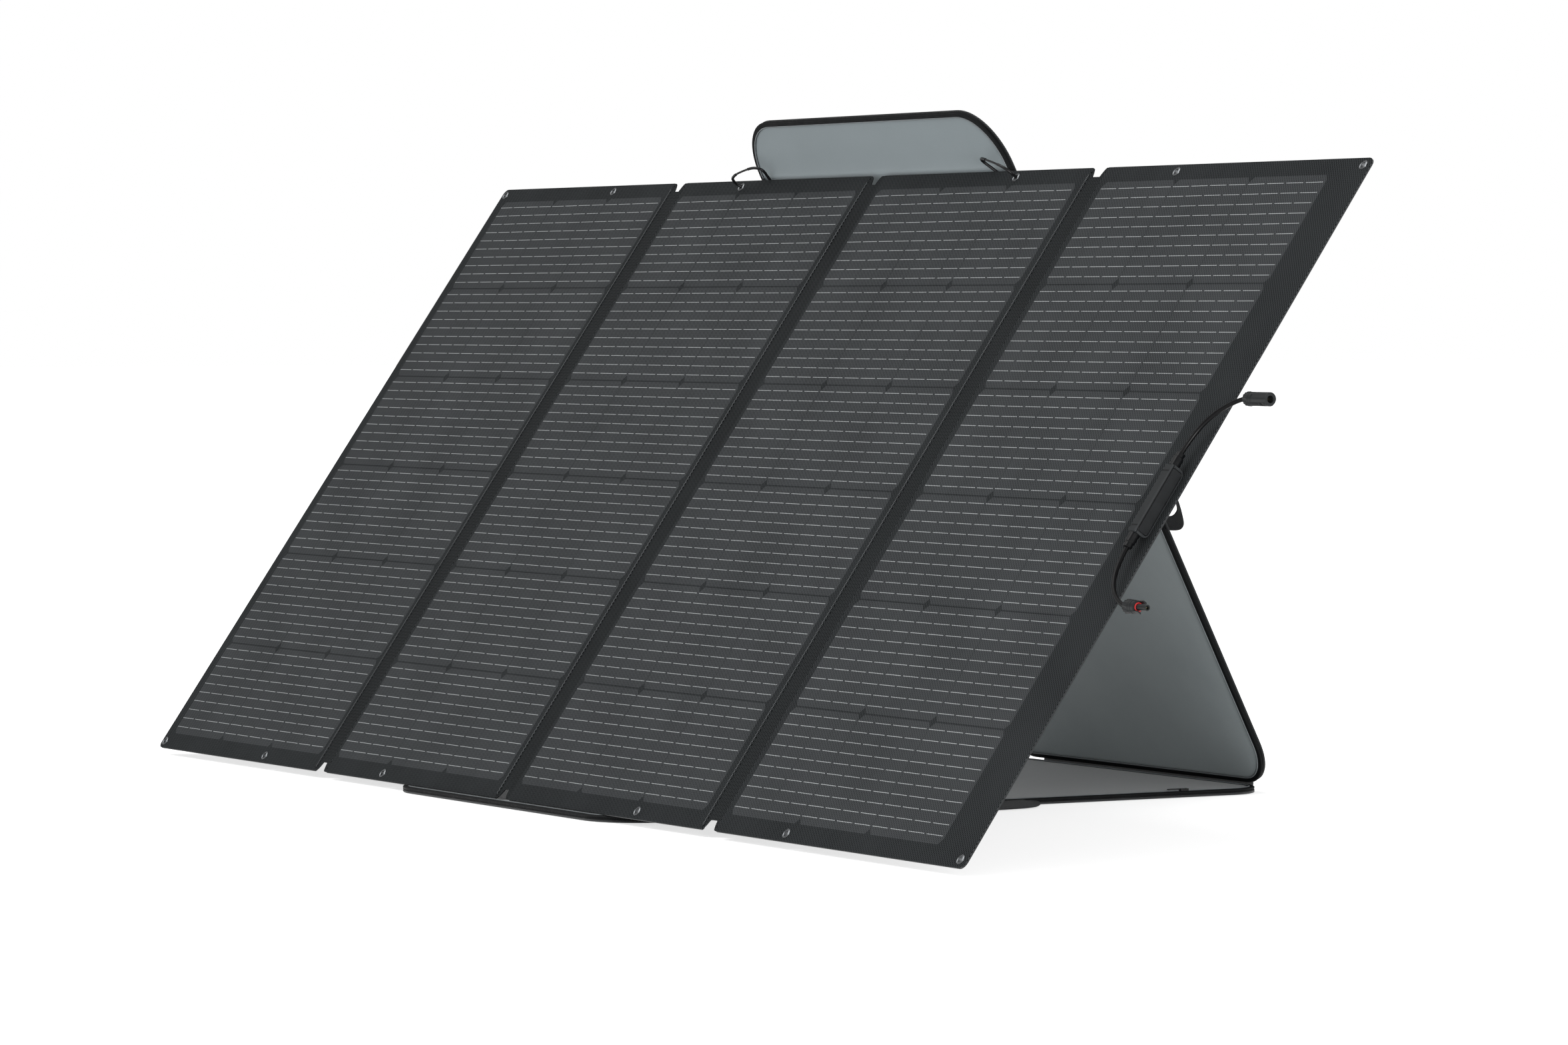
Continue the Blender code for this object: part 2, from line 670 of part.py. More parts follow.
def make_zip_slider():
    """Slider on the base's right rim, with its pull lying inwards."""
    at = (-CASE_WIDTH / 2.0 + 0.0055, 0.150)
    outline = rounded([(-0.0040, -0.0070, 0.002), (0.0040, -0.0070, 0.002),
                       (0.0040, 0.0070, 0.002), (-0.0040, 0.0070, 0.002)], 3)
    body = as_mesh(plate("zip_slider", outline, GAP, 0.0036, "hook", base, at=at))
    pull = block("slider_pull", (0.0040, 0.0260, 0.0014), "hook", base,
                 (at[0], at[1] + 0.0140, 0.0030))
    combine(body, pull, "UNION")


# ---- hooks ---------------------------------------------------------------------------
def hook_place(sign, along, out):
    """A point of the left (+1) or right (-1) hook, in the panel frame."""
    x = GROMMET_X[2] if sign > 0 else GROMMET_X[3]
    y = GROMMET_Y[1] + along * math.sin(HOOK_TURN)
    return Vector((x + sign * along * math.cos(HOOK_TURN), y, out))


def make_hook(side, sign):
    loop = rounded([(s, h, r) for s, h, r in HOOK_CORNERS], 5)
    first, last = GATE_SPAN
    top = HOOK_CORNERS[0][1]
    # start past the gate and go round the far end and the grommet back to the gate
    split = max(range(len(loop)), key=lambda i: loop[i][1] - 0.001 * abs(loop[i][0] - 0.02)
                if loop[i][0] > last else -1.0)
    ordered = loop[split:] + loop[:split]
    points = [(last, top), *ordered, (first, top)]
    tube(f"hook_{side}", [hook_place(sign, s, h) for s, h in points], WIRE, "hook",
         on_leg)
    pivot = hook_place(sign, last - 0.002, top)
    holder = panel_holder(f"gate_axis_{side}", *pivot)
    span = (first + GATE_CLEARANCE, last - GATE_CLEARANCE)
    tube(f"hook_gate_{side}", [hook_place(sign, s, top) - pivot for s in span],
         GATE_RADIUS, "hook", holder).location = (0.0, 0.0, 0.0)


LOOP_AT = (0.3379, 0.9660)     # from the case's middle, and up the leg
LOOP_HALF_WIDTH = 0.0035
LOOP_THICKNESS = 0.0008


def make_hook_loop(side, sign):
    """Belt loop sewn on the leg's rim, with the hook's wire under it."""
    low = GAP + LOOP_THICKNESS / 2.0
    high = 0.0072
    profile = ((-0.0120, low), (-0.0085, low), (-0.0062, high - 0.0006), (-0.0050, high),
               (0.0050, high), (0.0062, high - 0.0006), (0.0085, low), (0.0120, low))
    path = [(-sign * LOOP_AT[0], LOOP_AT[1] + y, z) for y, z in profile]
    across = [(LOOP_HALF_WIDTH, 0.0, 0.0)] * len(path)
    ribbon(f"hook_loop_{side}", path, across, LOOP_THICKNESS, "webbing", leg)


# ---- build ---------------------------------------------------------------------------
for number in range(4):
    make_panel(number)
for number in range(3):
    make_fold(number)
make_grommets()
make_junction_box()
make_leads()
make_female_connector()
make_male_connector()
make_case_half("base", base)
make_case_half("leg", leg)
make_spine()
make_handles()
make_zip_slider()
for hook_side, hook_sign in (("left", 1.0), ("right", -1.0)):
    make_hook(hook_side, hook_sign)
    make_hook_loop(hook_side, hook_sign)
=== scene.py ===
"""Looks of the folding solar panel on its opened carrying case.

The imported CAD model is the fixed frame. Each visible surface is either a CAD node with a
procedural material, or a detailed piece that replaces its node. Sizes are in metres.
"""
import math

import bmesh
import bpy
from mathutils import Matrix, Vector


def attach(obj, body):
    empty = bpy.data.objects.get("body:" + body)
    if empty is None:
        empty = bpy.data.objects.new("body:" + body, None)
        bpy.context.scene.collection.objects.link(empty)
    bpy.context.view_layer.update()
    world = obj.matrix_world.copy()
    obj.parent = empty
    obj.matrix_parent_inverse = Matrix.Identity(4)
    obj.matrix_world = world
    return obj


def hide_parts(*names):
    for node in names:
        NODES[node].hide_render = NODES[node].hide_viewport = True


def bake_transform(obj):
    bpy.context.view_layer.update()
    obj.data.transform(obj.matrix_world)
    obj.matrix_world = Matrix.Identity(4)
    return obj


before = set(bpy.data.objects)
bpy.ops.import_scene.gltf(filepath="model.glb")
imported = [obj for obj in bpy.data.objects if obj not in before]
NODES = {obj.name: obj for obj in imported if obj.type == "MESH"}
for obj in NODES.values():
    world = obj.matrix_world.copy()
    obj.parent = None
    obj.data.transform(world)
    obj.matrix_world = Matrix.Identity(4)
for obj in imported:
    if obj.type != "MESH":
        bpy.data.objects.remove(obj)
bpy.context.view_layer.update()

# ---- sizes shared with the CAD --------------------------------------------------------
PANEL_HALF_WIDTH = 1.1825
PANEL_HEIGHT = 1.058
PANEL_TILT = math.radians(55.0)
LEG_ANGLE = math.radians(63.05)
CASE_HALF_WIDTH = 0.3465
CASE_LENGTH = 1.065
CASE_THICKNESS = 0.009
CASE_X = -0.031
CASE_RADII = (0.065, 0.065, 0.085, 0.085)
HINGE_GAP = 0.002
SPINE_REACH = 0.0125
HINGE = Vector((CASE_X, 0.52725, CASE_THICKNESS))
BOARD_BOTTOM = -0.0029
PANEL_CORNER = Vector((0.0, -0.52875, 0.0093 - BOARD_BOTTOM * math.cos(PANEL_TILT)))

FOLD_X = (-0.6069, -0.0290, 0.5545)
FOLD_HALF = 0.0172
GAP = 0.0003
CELL_LEFT = (-1.1593, -0.5829, -0.0035, 0.5845)
CELL_PITCH = (0.1738, 0.1677)
CELL_GAP = 0.0022
CELL_BOTTOM_Y = 0.0268
GROMMET_X = (-1.1705, -0.8105, -0.4125, 0.3505, 0.7465, 1.1680)
GROMMET_Y = (0.0115, 1.0465)
PANEL_BODY = ("left_wing", "centre", "centre", "right_wing")
GROMMET_BODY = ("left_wing", "left_wing", "centre", "centre", "right_wing", "right_wing")

BOX_SIZE = (0.017, 0.100, 0.0212)
BOX_AT = (1.1604, 0.5278)
BOX_TOP = 0.0212
GLAND_LENGTH = 0.0196
LEAD_Z = 0.0140
LEAD_RADIUS = 0.0030
LEAD_END_GAP = 0.0006
# out from the box and along the panel's edge, from the gland to the connector
LEAD_ROUTE = ((0.0, 0.0), (0.0006, 0.0090), (0.0027, 0.0205), (0.0065, 0.0345),
              (0.0130, 0.0475), (0.0228, 0.0595), (0.0352, 0.0692), (0.0492, 0.0768),
              (0.0620, 0.0815), (0.0712, 0.0832))

# working frames: x across, y up the face, z out of it
PANEL = Matrix.Translation(PANEL_CORNER) @ Matrix.Rotation(PANEL_TILT, 4, "X")
LEG = Matrix.Translation(HINGE) @ Matrix.Rotation(math.pi - LEG_ANGLE, 4, "X")
BASE = Matrix.Translation(HINGE) @ Matrix.Rotation(math.pi, 4, "Z")
WORLD = Matrix.Identity(4)


# ---- camera ---------------------------------------------------------------------------
SENSOR_WIDTH = 36.0
LENS = 138.86
CAMERA_AT = (7.3912, -4.3691, 0.6855)
CAMERA_TURN = (math.radians(87.993), 0.0, math.radians(59.956))


def make_camera():
    data = bpy.data.cameras.new("camera")
    data.sensor_width = SENSOR_WIDTH
    data.lens = LENS
    camera = bpy.data.objects.new("camera", data)
    camera.location = CAMERA_AT
    camera.rotation_euler = CAMERA_TURN
    bpy.context.scene.collection.objects.link(camera)
    bpy.context.scene.camera = camera


# ---- geometry helpers -----------------------------------------------------------------
# corners of a box by number: x changes first, then y, then z
BOX_FACES = ((0, 2, 3, 1), (4, 5, 7, 6), (0, 1, 5, 4), (2, 6, 7, 3), (0, 4, 6, 2), (1, 3, 7, 5))


def arc(centre, radius, start, end, steps):
    """Points along a circle's arc, both ends included."""
    return [
        (centre[0] + radius * math.cos(start + (end - start) * i / steps),
         centre[1] + radius * math.sin(start + (end - start) * i / steps))
        for i in range(steps + 1)
    ]


def rounded_box(left, right, bottom, top, radii, steps=8):
    """Outline of a rectangle with rounded corners, counter-clockwise from bottom left."""
    corners = ((left, bottom, 1, 1), (right, bottom, -1, 1), (right, top, -1, -1),
               (left, top, 1, -1))
    points = []
    for k, ((x, y, to_x, to_y), radius) in enumerate(zip(corners, radii)):
        start = math.pi * (1.0 + 0.5 * k)
        points += arc((x + to_x * radius, y + to_y * radius), radius, start,
                      start + math.pi / 2, steps)
    return points


def even_points(points, count):
    """Points spaced evenly along a Catmull-Rom curve through the given ones."""
    given = [Vector(p) for p in points]
    ends = [given[0] * 2 - given[1], *given, given[-1] * 2 - given[-2]]
    steps = 16      # between one given point and the next
    dense = []
    for a, b, c, d in zip(ends, ends[1:], ends[2:], ends[3:]):
        for k in range(steps):
            t = k / steps
            dense.append(0.5 * (2 * b + (c - a) * t + (2 * a - 5 * b + 4 * c - d) * t * t
                                + (3 * b - a - 3 * c + d) * t ** 3))
    dense.append(given[-1])
    return resample(dense, count)


def resample(points, count):
    """The same line with evenly spaced points."""
    line = [Vector(p) for p in points]
    lengths = [0.0]
    for a, b in zip(line, line[1:]):
        lengths.append(lengths[-1] + (b - a).length)
    spaced = []
    k = 0
    for i in range(count):
        want = lengths[-1] * i / (count - 1)
        while k < len(line) - 2 and lengths[k + 1] < want:
            k += 1
        span = lengths[k + 1] - lengths[k]
        spaced.append(line[k].lerp(line[k + 1], min(1.0, (want - lengths[k]) / span)))
    return spaced


def finish_mesh(name, shape, finish, where, body, smooth_angle=35.0):
    """Turn a bmesh into a shaded object in the row frame, riding on a body."""
    bmesh.ops.recalc_face_normals(shape, faces=shape.faces)
    mesh = bpy.data.meshes.new(name)
    shape.to_mesh(mesh)
    shape.free()
    mesh.shade_smooth()
    mesh.set_sharp_from_angle(angle=math.radians(smooth_angle))
    mesh.materials.append(finish)
    made = bpy.data.objects.new(name, mesh)
    bpy.context.scene.collection.objects.link(made)
    made.matrix_world = where
    if body:
        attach(made, body)
    return made


def bevel(made, width):
    """Round off an object's sharp edges."""
    edges = made.modifiers.new("edges", "BEVEL")
    edges.width = width
    edges.segments = 2
    edges.limit_method = "ANGLE"
    edges.angle_limit = math.radians(30.0)


def turned(name, profile, finish, where, body, sides=32, closed=False):
    """Turn a profile of (height, radius) about its own Z axis."""
    shape = bmesh.new()
    rings = []
    for height, radius in profile:
        if radius < 1e-7:
            rings.append([shape.verts.new((0.0, 0.0, height))] * sides)
            continue
        rings.append([
            shape.verts.new((radius * math.cos(math.tau * i / sides),
                             radius * math.sin(math.tau * i / sides), height))
            for i in range(sides)
        ])
    join_turned(shape, rings, closed)
    return finish_mesh(name, shape, finish, where, body)


def join_turned(shape, rings, closed=False):
    """Faces between turned rings, where a ring on the axis is one vertex repeated."""
    pairs = list(zip(rings, rings[1:]))
    if closed:
        pairs.append((rings[-1], rings[0]))
    for low, high in pairs:
        for i in range(len(low)):
            j = (i + 1) % len(low)
            corners = dict.fromkeys((low[i], low[j], high[j], high[i]))
            if len(corners) > 2:
                shape.faces.new(list(corners))


def add_box(shape, low, high):
    """Add a box to a bmesh, from its lowest to its highest corner."""
    x, y, z = zip(low, high)
    corners = [shape.verts.new((x[i & 1], y[(i >> 1) & 1], z[i >> 2])) for i in range(8)]
    for face in BOX_FACES:
        shape.faces.new([corners[i] for i in face])


def add_turned_box(shape, centre, halves):
    """Add a box given by its centre and its three half-length vectors."""
    a, b, c = halves
    corners = [shape.verts.new(centre + a * i + b * j + c * k)
               for k in (-1, 1) for j in (-1, 1) for i in (-1, 1)]
    for face in BOX_FACES:
        shape.faces.new([corners[i] for i in face])


def join_rings(shape, rings, closed=False):
    """Faces between neighbouring rings of the same number of points."""
    pairs = list(zip(rings, rings[1:]))
    if closed:
        pairs.append((rings[-1], rings[0]))
    for first, second in pairs:
        for i in range(len(first)):
            j = (i + 1) % len(first)
            shape.faces.new((first[i], second[i], second[j], first[j]))


def add_prism(shape, outline, low, high):
    """Add a closed prism on a flat outline to a bmesh."""
    bottom = [shape.verts.new((x, y, low)) for x, y in outline]
    top = [shape.verts.new((x, y, high)) for x, y in outline]
    shape.faces.new(list(reversed(bottom)))
    shape.faces.new(top)
    for i in range(len(outline)):
        j = (i + 1) % len(outline)
        shape.faces.new((bottom[i], bottom[j], top[j], top[i]))


def sweep(name, path, section, finish, where, body, closed=False):
    """Sweep a closed flat section of (side, up) points along a level path."""
    shape = bmesh.new()
    rings = []
    count = len(path)
    for i, point in enumerate(path):
        before = path[i - 1] if (i or closed) else path[i]
        after = path[(i + 1) % count] if (i < count - 1 or closed) else path[i]
        run = (Vector(after) - Vector(before)).normalized()
        side = run.cross(Vector((0.0, 0.0, 1.0))).normalized()
        lift = side.cross(run)
        rings.append([shape.verts.new(Vector(point) + side * a + lift * b)
                      for a, b in section])
    if not closed:
        shape.faces.new(list(reversed(rings[0])))
        shape.faces.new(rings[-1])
    join_rings(shape, rings, closed)
    return finish_mesh(name, shape, finish, where, body, 50.0)


def round_section(radius):
    """A cord's section for sweep, as a ring of ten points."""
    angles = [math.tau * i / 10 for i in range(10)]
    return [(radius * math.cos(angle), radius * math.sin(angle)) for angle in angles]


def tube(name, points, radius, finish, where, body, resolution=4):
    """Round wire or cord along a line of points, as a curve with a bevel."""
    data = bpy.data.curves.new(name, "CURVE")
    data.dimensions = "3D"
    data.bevel_depth = radius
    data.bevel_resolution = resolution
    data.use_fill_caps = True
    spline = data.splines.new("POLY")
    spline.points.add(len(points) - 1)
    for slot, point in zip(spline.points, points):
        slot.co = (*point, 1.0)
    spline.use_smooth = True
    data.materials.append(finish)
    made = bpy.data.objects.new(name, data)
    bpy.context.scene.collection.objects.link(made)
    made.matrix_world = where
    if body:
        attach(made, body)
    return made


# ---- material helpers -----------------------------------------------------------------
class Nodes:
    """Short calls for building one material's node tree."""

    def __init__(self, name):
        self.material = bpy.data.materials.new(name)
        self.material.use_nodes = True
        self.tree = self.material.node_tree
        self.shader = self.tree.nodes["Principled BSDF"]
        self.position = self.new("ShaderNodeTexCoord").outputs["Object"]

    def new(self, kind, **settings):
        node = self.tree.nodes.new(kind)
        for key, value in settings.items():
            setattr(node, key, value)
        return node

    def link(self, value, socket):
        if hasattr(value, "is_output"):
            self.tree.links.new(value, socket)
        else:
            socket.default_value = value

    def set(self, **values):
        for key, value in values.items():
            self.link(value, self.shader.inputs[key.replace("_", " ")])

    def math(self, operation, a, b=0.0, clamp=False):
        node = self.new("ShaderNodeMath", operation=operation, use_clamp=clamp)
        self.link(a, node.inputs[0])
        self.link(b, node.inputs[1])
        return node.outputs[0]

    def axes(self, vector):
        return self.new_linked("ShaderNodeSeparateXYZ", vector).outputs

    def new_linked(self, kind, vector, **settings):
        node = self.new(kind, **settings)
        self.link(vector, node.inputs[0])
        return node

    def turned(self, vector, rotation, shift=(0.0, 0.0, 0.0)):
        node = self.new_linked("ShaderNodeMapping", vector, vector_type="POINT")
        node.inputs["Location"].default_value = shift
        node.inputs["Rotation"].default_value = rotation
        return node.outputs[0]

    def noise(self, vector, scale, detail=3.0, roughness=0.5):
        node = self.new("ShaderNodeTexNoise")
        self.link(vector, node.inputs["Vector"])
        node.inputs["Scale"].default_value = scale
        node.inputs["Detail"].default_value = detail
        node.inputs["Roughness"].default_value = roughness
        return node.outputs["Fac"]

    def wave(self, value, period):
        """Cosine of a length, from -1 to 1."""
        return self.math("COSINE", self.math("MULTIPLY", value, math.tau / period))

    def ramp(self, value, low, high, to_low=0.0, to_high=1.0):
        node = self.new("ShaderNodeMapRange", clamp=True)
        for socket, number in zip(node.inputs, (value, low, high, to_low, to_high)):
            self.link(number, socket)
        return node.outputs[0]

    def mix(self, share, dark, light):
        node = self.new("ShaderNodeMix", data_type="RGBA")
        self.link(share, node.inputs[0])
        self.link((*dark, 1.0) if isinstance(dark, tuple) else dark, node.inputs[6])
        self.link((*light, 1.0) if isinstance(light, tuple) else light, node.inputs[7])
        return node.outputs[2]

    def bump(self, height, distance, strength=1.0):
        node = self.new("ShaderNodeBump")
        node.inputs["Distance"].default_value = distance
        node.inputs["Strength"].default_value = strength
        self.link(height, node.inputs["Height"])
        self.link(node.outputs[0], self.shader.inputs["Normal"])


def scaled(colour, factor):
    return tuple(channel * factor for channel in colour)


EMBOSS = (0.00398, 0.00593)       # the laminate's staggered pits: across and up


def laminate(name, colour, pit_shade, in_row=True):
    """Satin film embossed with staggered pits, which are painted darker as the shade in them;
    in_row when the mesh is in the row frame.
    """
    n = Nodes(name)
    place = n.position
    if in_row:
        place = n.turned(n.turned(place, (0.0, 0.0, 0.0), -PANEL_CORNER),
                         (-PANEL_TILT, 0.0, 0.0))
    x, y, _ = n.axes(place)
    lattice = n.math("MULTIPLY", n.wave(x, EMBOSS[0]), n.wave(y, EMBOSS[1]))
    pits = n.ramp(lattice, -0.25, 0.45)
    cloud = n.noise(place, 9.0)
    grain = n.noise(place, 900.0, 2.0)
    # painted shade: each pit is painted darker by this share, as the shade that falls in it
    shade = n.mix(pits, colour, scaled(colour, 1.0 - pit_shade))
    shade = n.mix(n.ramp(cloud, 0.3, 0.7, 0.0, 0.22), shade, scaled(colour, 1.25))
    n.set(Base_Color=shade, Metallic=0.0,
          Specular_IOR_Level=n.ramp(pits, 0.0, 1.0, 0.05, 0.0))
    n.set(Roughness=n.ramp(grain, 0.3, 0.7, 0.54, 0.66))
    n.bump(n.math("SUBTRACT", n.math("MULTIPLY", grain, 0.15), pits), 0.0002, 0.5)
    return n.material


def cloth(name, colour, pitch, roughness, speckle=0.5):
    """Plain-woven cloth: two crossed threads."""
    n = Nodes(name)
    x, y, z = n.axes(n.position)
    across = n.math("MULTIPLY", n.wave(x, pitch), n.wave(n.math("ADD", y, z), pitch))
    thread = n.ramp(across, -0.6, 0.6)
    fuzz = n.noise(n.position, 1800.0, 2.0)
    cloud = n.noise(n.position, 14.0)
    shade = n.mix(thread, scaled(colour, 1.0 - speckle), scaled(colour, 1.0 + speckle))
    shade = n.mix(n.ramp(cloud, 0.35, 0.7, 0.0, 0.3), shade, scaled(colour, 1.35))
    n.set(Base_Color=shade, Metallic=0.0, Sheen_Weight=0.2, Sheen_Roughness=0.5,
          Specular_IOR_Level=0.1)
    n.set(Roughness=n.ramp(fuzz, 0.3, 0.7, roughness - 0.08, min(1.0, roughness + 0.08)))
    n.bump(n.math("ADD", thread, n.math("MULTIPLY", fuzz, 0.4)), 0.0002, 0.7)
    return n.material


def moulded(name, colour, roughness, grain_scale=1400.0, depth=0.00008, metallic=0.0,
            variation=0.18, specular=0.3):
    """Moulded plastic, rubber or coated metal with a fine grain and faint smudges."""
    n = Nodes(name)
    grain = n.noise(n.position, grain_scale, 2.0)
    smudge = n.noise(n.position, 60.0, 4.0)
    shade = n.mix(n.ramp(smudge, 0.3, 0.75), scaled(colour, 1.0 - variation),
                  scaled(colour, 1.0 + variation))
    n.set(Base_Color=shade, Metallic=metallic, Specular_IOR_Level=specular)
    n.set(Roughness=n.ramp(smudge, 0.3, 0.7, roughness - 0.07, roughness + 0.09))
    n.bump(grain, depth, 0.5)
    return n.material


def lining_material(name, low, high):
    """Smooth coated lining with a faint fine weave; its colour runs from low to high up y, as
    painted light and shade.
    """
    n = Nodes(name)
    x, y, _ = n.axes(n.position)
    weave = n.math("MULTIPLY", n.wave(x, 0.0009), n.wave(y, 0.0009))
    cloud = n.noise(n.position, 4.0, 4.0, 0.6)
    fuzz = n.noise(n.position, 700.0, 2.0)
    # painted light and shade: the colour changes up y as the light on the lining changes
    colour = n.mix(n.ramp(y, 0.35, 1.0), low, high)
    shade = n.mix(n.ramp(cloud, 0.3, 0.7, 0.0, 0.35), colour, scaled(high, 0.8))
    n.set(Base_Color=shade, Metallic=0.0, Sheen_Weight=0.1, Sheen_Roughness=0.4,
          Specular_IOR_Level=0.2)
    n.set(Roughness=n.ramp(fuzz, 0.3, 0.7, 0.50, 0.62))
    n.bump(n.math("ADD", n.math("MULTIPLY", weave, 0.5), fuzz), 0.00006, 0.5)
    return n.material


def webbing_material(name, colour):
    """Ribbed webbing: fine ribs over a woven base."""
    n = Nodes(name)
    x, y, z = n.axes(n.position)
    ribs = n.math("MULTIPLY", n.wave(n.math("ADD", x, z), 0.0016), n.wave(y, 0.0016))
    fuzz = n.noise(n.position, 1500.0, 2.0)
    shade = n.mix(n.ramp(ribs, -0.5, 0.5), scaled(colour, 0.55), scaled(colour, 1.4))
    n.set(Base_Color=shade, Metallic=0.0, Sheen_Weight=0.1, Sheen_Roughness=0.4,
          Specular_IOR_Level=0.15)
    n.set(Roughness=n.ramp(fuzz, 0.3, 0.7, 0.65, 0.85))
    n.bump(n.math("ADD", ribs, n.math("MULTIPLY", fuzz, 0.5)), 0.0003, 0.8)
    return n.material


FILM = laminate("film", (0.026, 0.0285, 0.030), 0.9)
STRIP = laminate("fold_strip", (0.020, 0.022, 0.023), 0.9, in_row=False)
CELL = laminate("cell", (0.046, 0.0490, 0.0515), 0.75, in_row=False)
BUSBAR = laminate("busbar", (0.36, 0.375, 0.38), 0.7, in_row=False)
BOARD = cloth("board_back", (0.014, 0.015, 0.016), 0.0011, 0.8)
STEEL = moulded("eyelet_metal", (0.13, 0.135, 0.14), 0.30, metallic=1.0, variation=0.1)
WIRE = moulded("coated_wire", (0.005, 0.005, 0.0055), 0.32, specular=0.2)
BOX = moulded("box_plastic", (0.017, 0.0185, 0.0195), 0.5, specular=0.10)
BOX_FACE = moulded("box_face_plastic", (0.0085, 0.0092, 0.0098), 0.55, specular=0.10)
GLAND = moulded("gland_plastic", (0.002, 0.0022, 0.0025), 0.30, specular=0.15)
CABLE = moulded("cable_jacket", (0.002, 0.002, 0.0022), 0.35, specular=0.10)
CONNECTOR = moulded("connector_plastic", (0.0100, 0.0110, 0.0115), 0.38, specular=0.15)
CONTACT = moulded("contact_metal", (0.60, 0.48, 0.28), 0.30, metallic=1.0)
SEAL = moulded("seal_rubber", (0.24, 0.006, 0.006), 0.42)
CIRCUIT = moulded("circuit", (0.02, 0.11, 0.05), 0.5)
SHELL = cloth("shell_cloth", (0.016, 0.017, 0.018), 0.0016, 0.9, 0.7)
BINDING = moulded("binding_rubber", (0.004, 0.0044, 0.0048), 0.6, 2200.0, 0.0001,
                  specular=0.08)
BEAD = moulded("bead_vinyl", (0.120, 0.132, 0.138), 0.45)
# the leg's lining is painted lighter low down, where the panel shades it, and darker at the
# top: painted light and shade; the base's barely changes
LEG_LINING = lining_material("leg_lining", (0.250, 0.280, 0.286), (0.175, 0.205, 0.216))
BASE_LINING = lining_material("base_lining", (0.235, 0.245, 0.252), (0.240, 0.250, 0.258))
WEBBING = webbing_material("webbing", (0.011, 0.012, 0.013))
THREAD = moulded("thread", (0.026, 0.027, 0.029), 0.7)
# light thread for all stitches; on the fold ridges its light colour is a painted highlight
STITCH = moulded("fold_stitch", (0.105, 0.110, 0.115), 0.55)


def dress(node, finish):
    """Give a CAD node that stays visible a finished material."""
    shown = NODES[node]
    shown.data.materials.clear()
    shown.data.materials.append(finish)
    shown.data.shade_smooth()
    shown.data.set_sharp_from_angle(angle=math.radians(35.0))


# ---- leads ----------------------------------------------------------------------------
def lead_points(sign):
    """Chosen points of a lead in the panel's frame; sign is 1 for the upper one."""
    x, y = BOX_AT
    start = y + sign * (BOX_SIZE[1] / 2.0 + GLAND_LENGTH + LEAD_END_GAP)
    return [Vector((x + out, start + sign * along, LEAD_Z)) for out, along in LEAD_ROUTE]


def line_length(points):
    return sum((b - a).length for a, b in zip(points, points[1:]))


def make_leads():
    """Each lead from its gland to its connector, with the connector at its end."""
    for end, sign, cad in (("upper", 1.0, "socket"), ("lower", -1.0, "plug")):
        points = even_points(lead_points(sign), 33)
        lead = tube(f"lead_jacket_{end}", points, LEAD_RADIUS, CABLE, PANEL, "right_wing")
        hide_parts(f"lead_{end}")
        pieces = make_socket() if cad == "socket" else make_plug()


TO_RIGHT = Matrix.Rotation(math.pi / 2, 4, "Y")


def connector_frame(sign):
    """Frame at the lead's end with Z pointing out of it, to the panel's right."""
    end = lead_points(sign)[-1] + Vector((LEAD_END_GAP, 0.0, 0.0))
    return PANEL @ Matrix.Translation(end) @ TO_RIGHT


def ribbed_nut(name, length, where):
    """Clamp nut with flutes round it and a smooth collar."""
    flutes = 14
    sides = flutes * 4
    profile = ((0.0, 0.0), (0.0, 0.0062), (0.0015, 0.0074), (0.0035, 0.0092),
               (length * 0.75, 0.0094), (length * 0.82, 0.0090), (length - 0.0006, 0.0089),
               (length, 0.0084), (length, 0.0))
    shape = bmesh.new()
    rings = []
    for height, radius in profile:
        if radius == 0.0:
            rings.append([shape.verts.new((0.0, 0.0, height))] * sides)
            continue
        fluted = 0.0030 < height < length * 0.78
        ring = []
        for i in range(sides):
            dip = 0.0008 * (0.5 - 0.5 * math.cos(math.tau * i / 4)) if fluted else 0.0
            angle = math.tau * i / sides
            ring.append(shape.verts.new(((radius - dip) * math.cos(angle),
                                         (radius - dip) * math.sin(angle), height)))
        rings.append(ring)
    join_turned(shape, rings)
    made = finish_mesh(name, shape, CONNECTOR, where, "right_wing", 30.0)
    return made


SOCKET_NUT_LENGTH = 0.014
PLUG_NUT_LENGTH = 0.015
SOCKET_SKIN = 0.0075              # radii above this are the socket's outside
SOCKET_FLAT_FROM = 0.0058
SOCKET_FLAT_HALF = 0.0079
WINDOW_SPAN = (0.0215, 0.0312)
WINDOW_RADIUS = 0.0062
# height and radius, from the bottom of the bore round the mouth to the collar
SOCKET_PROFILE = ((0.0080, 0.0002), (0.0080, 0.0045), (0.0374, 0.0045), (0.0380, 0.0051),
                  (0.0380, 0.0080), (0.0372, 0.0088), (0.0320, 0.0088), (0.0311, 0.0088),
                  (0.0305, 0.0088), (0.0220, 0.0088), (0.0214, 0.0088), (0.0100, 0.0088),
                  (0.0062, 0.0086), (0.0056, 0.0088), (0.0004, 0.0088), (0.0, 0.0084),
                  (0.0, 0.0002))


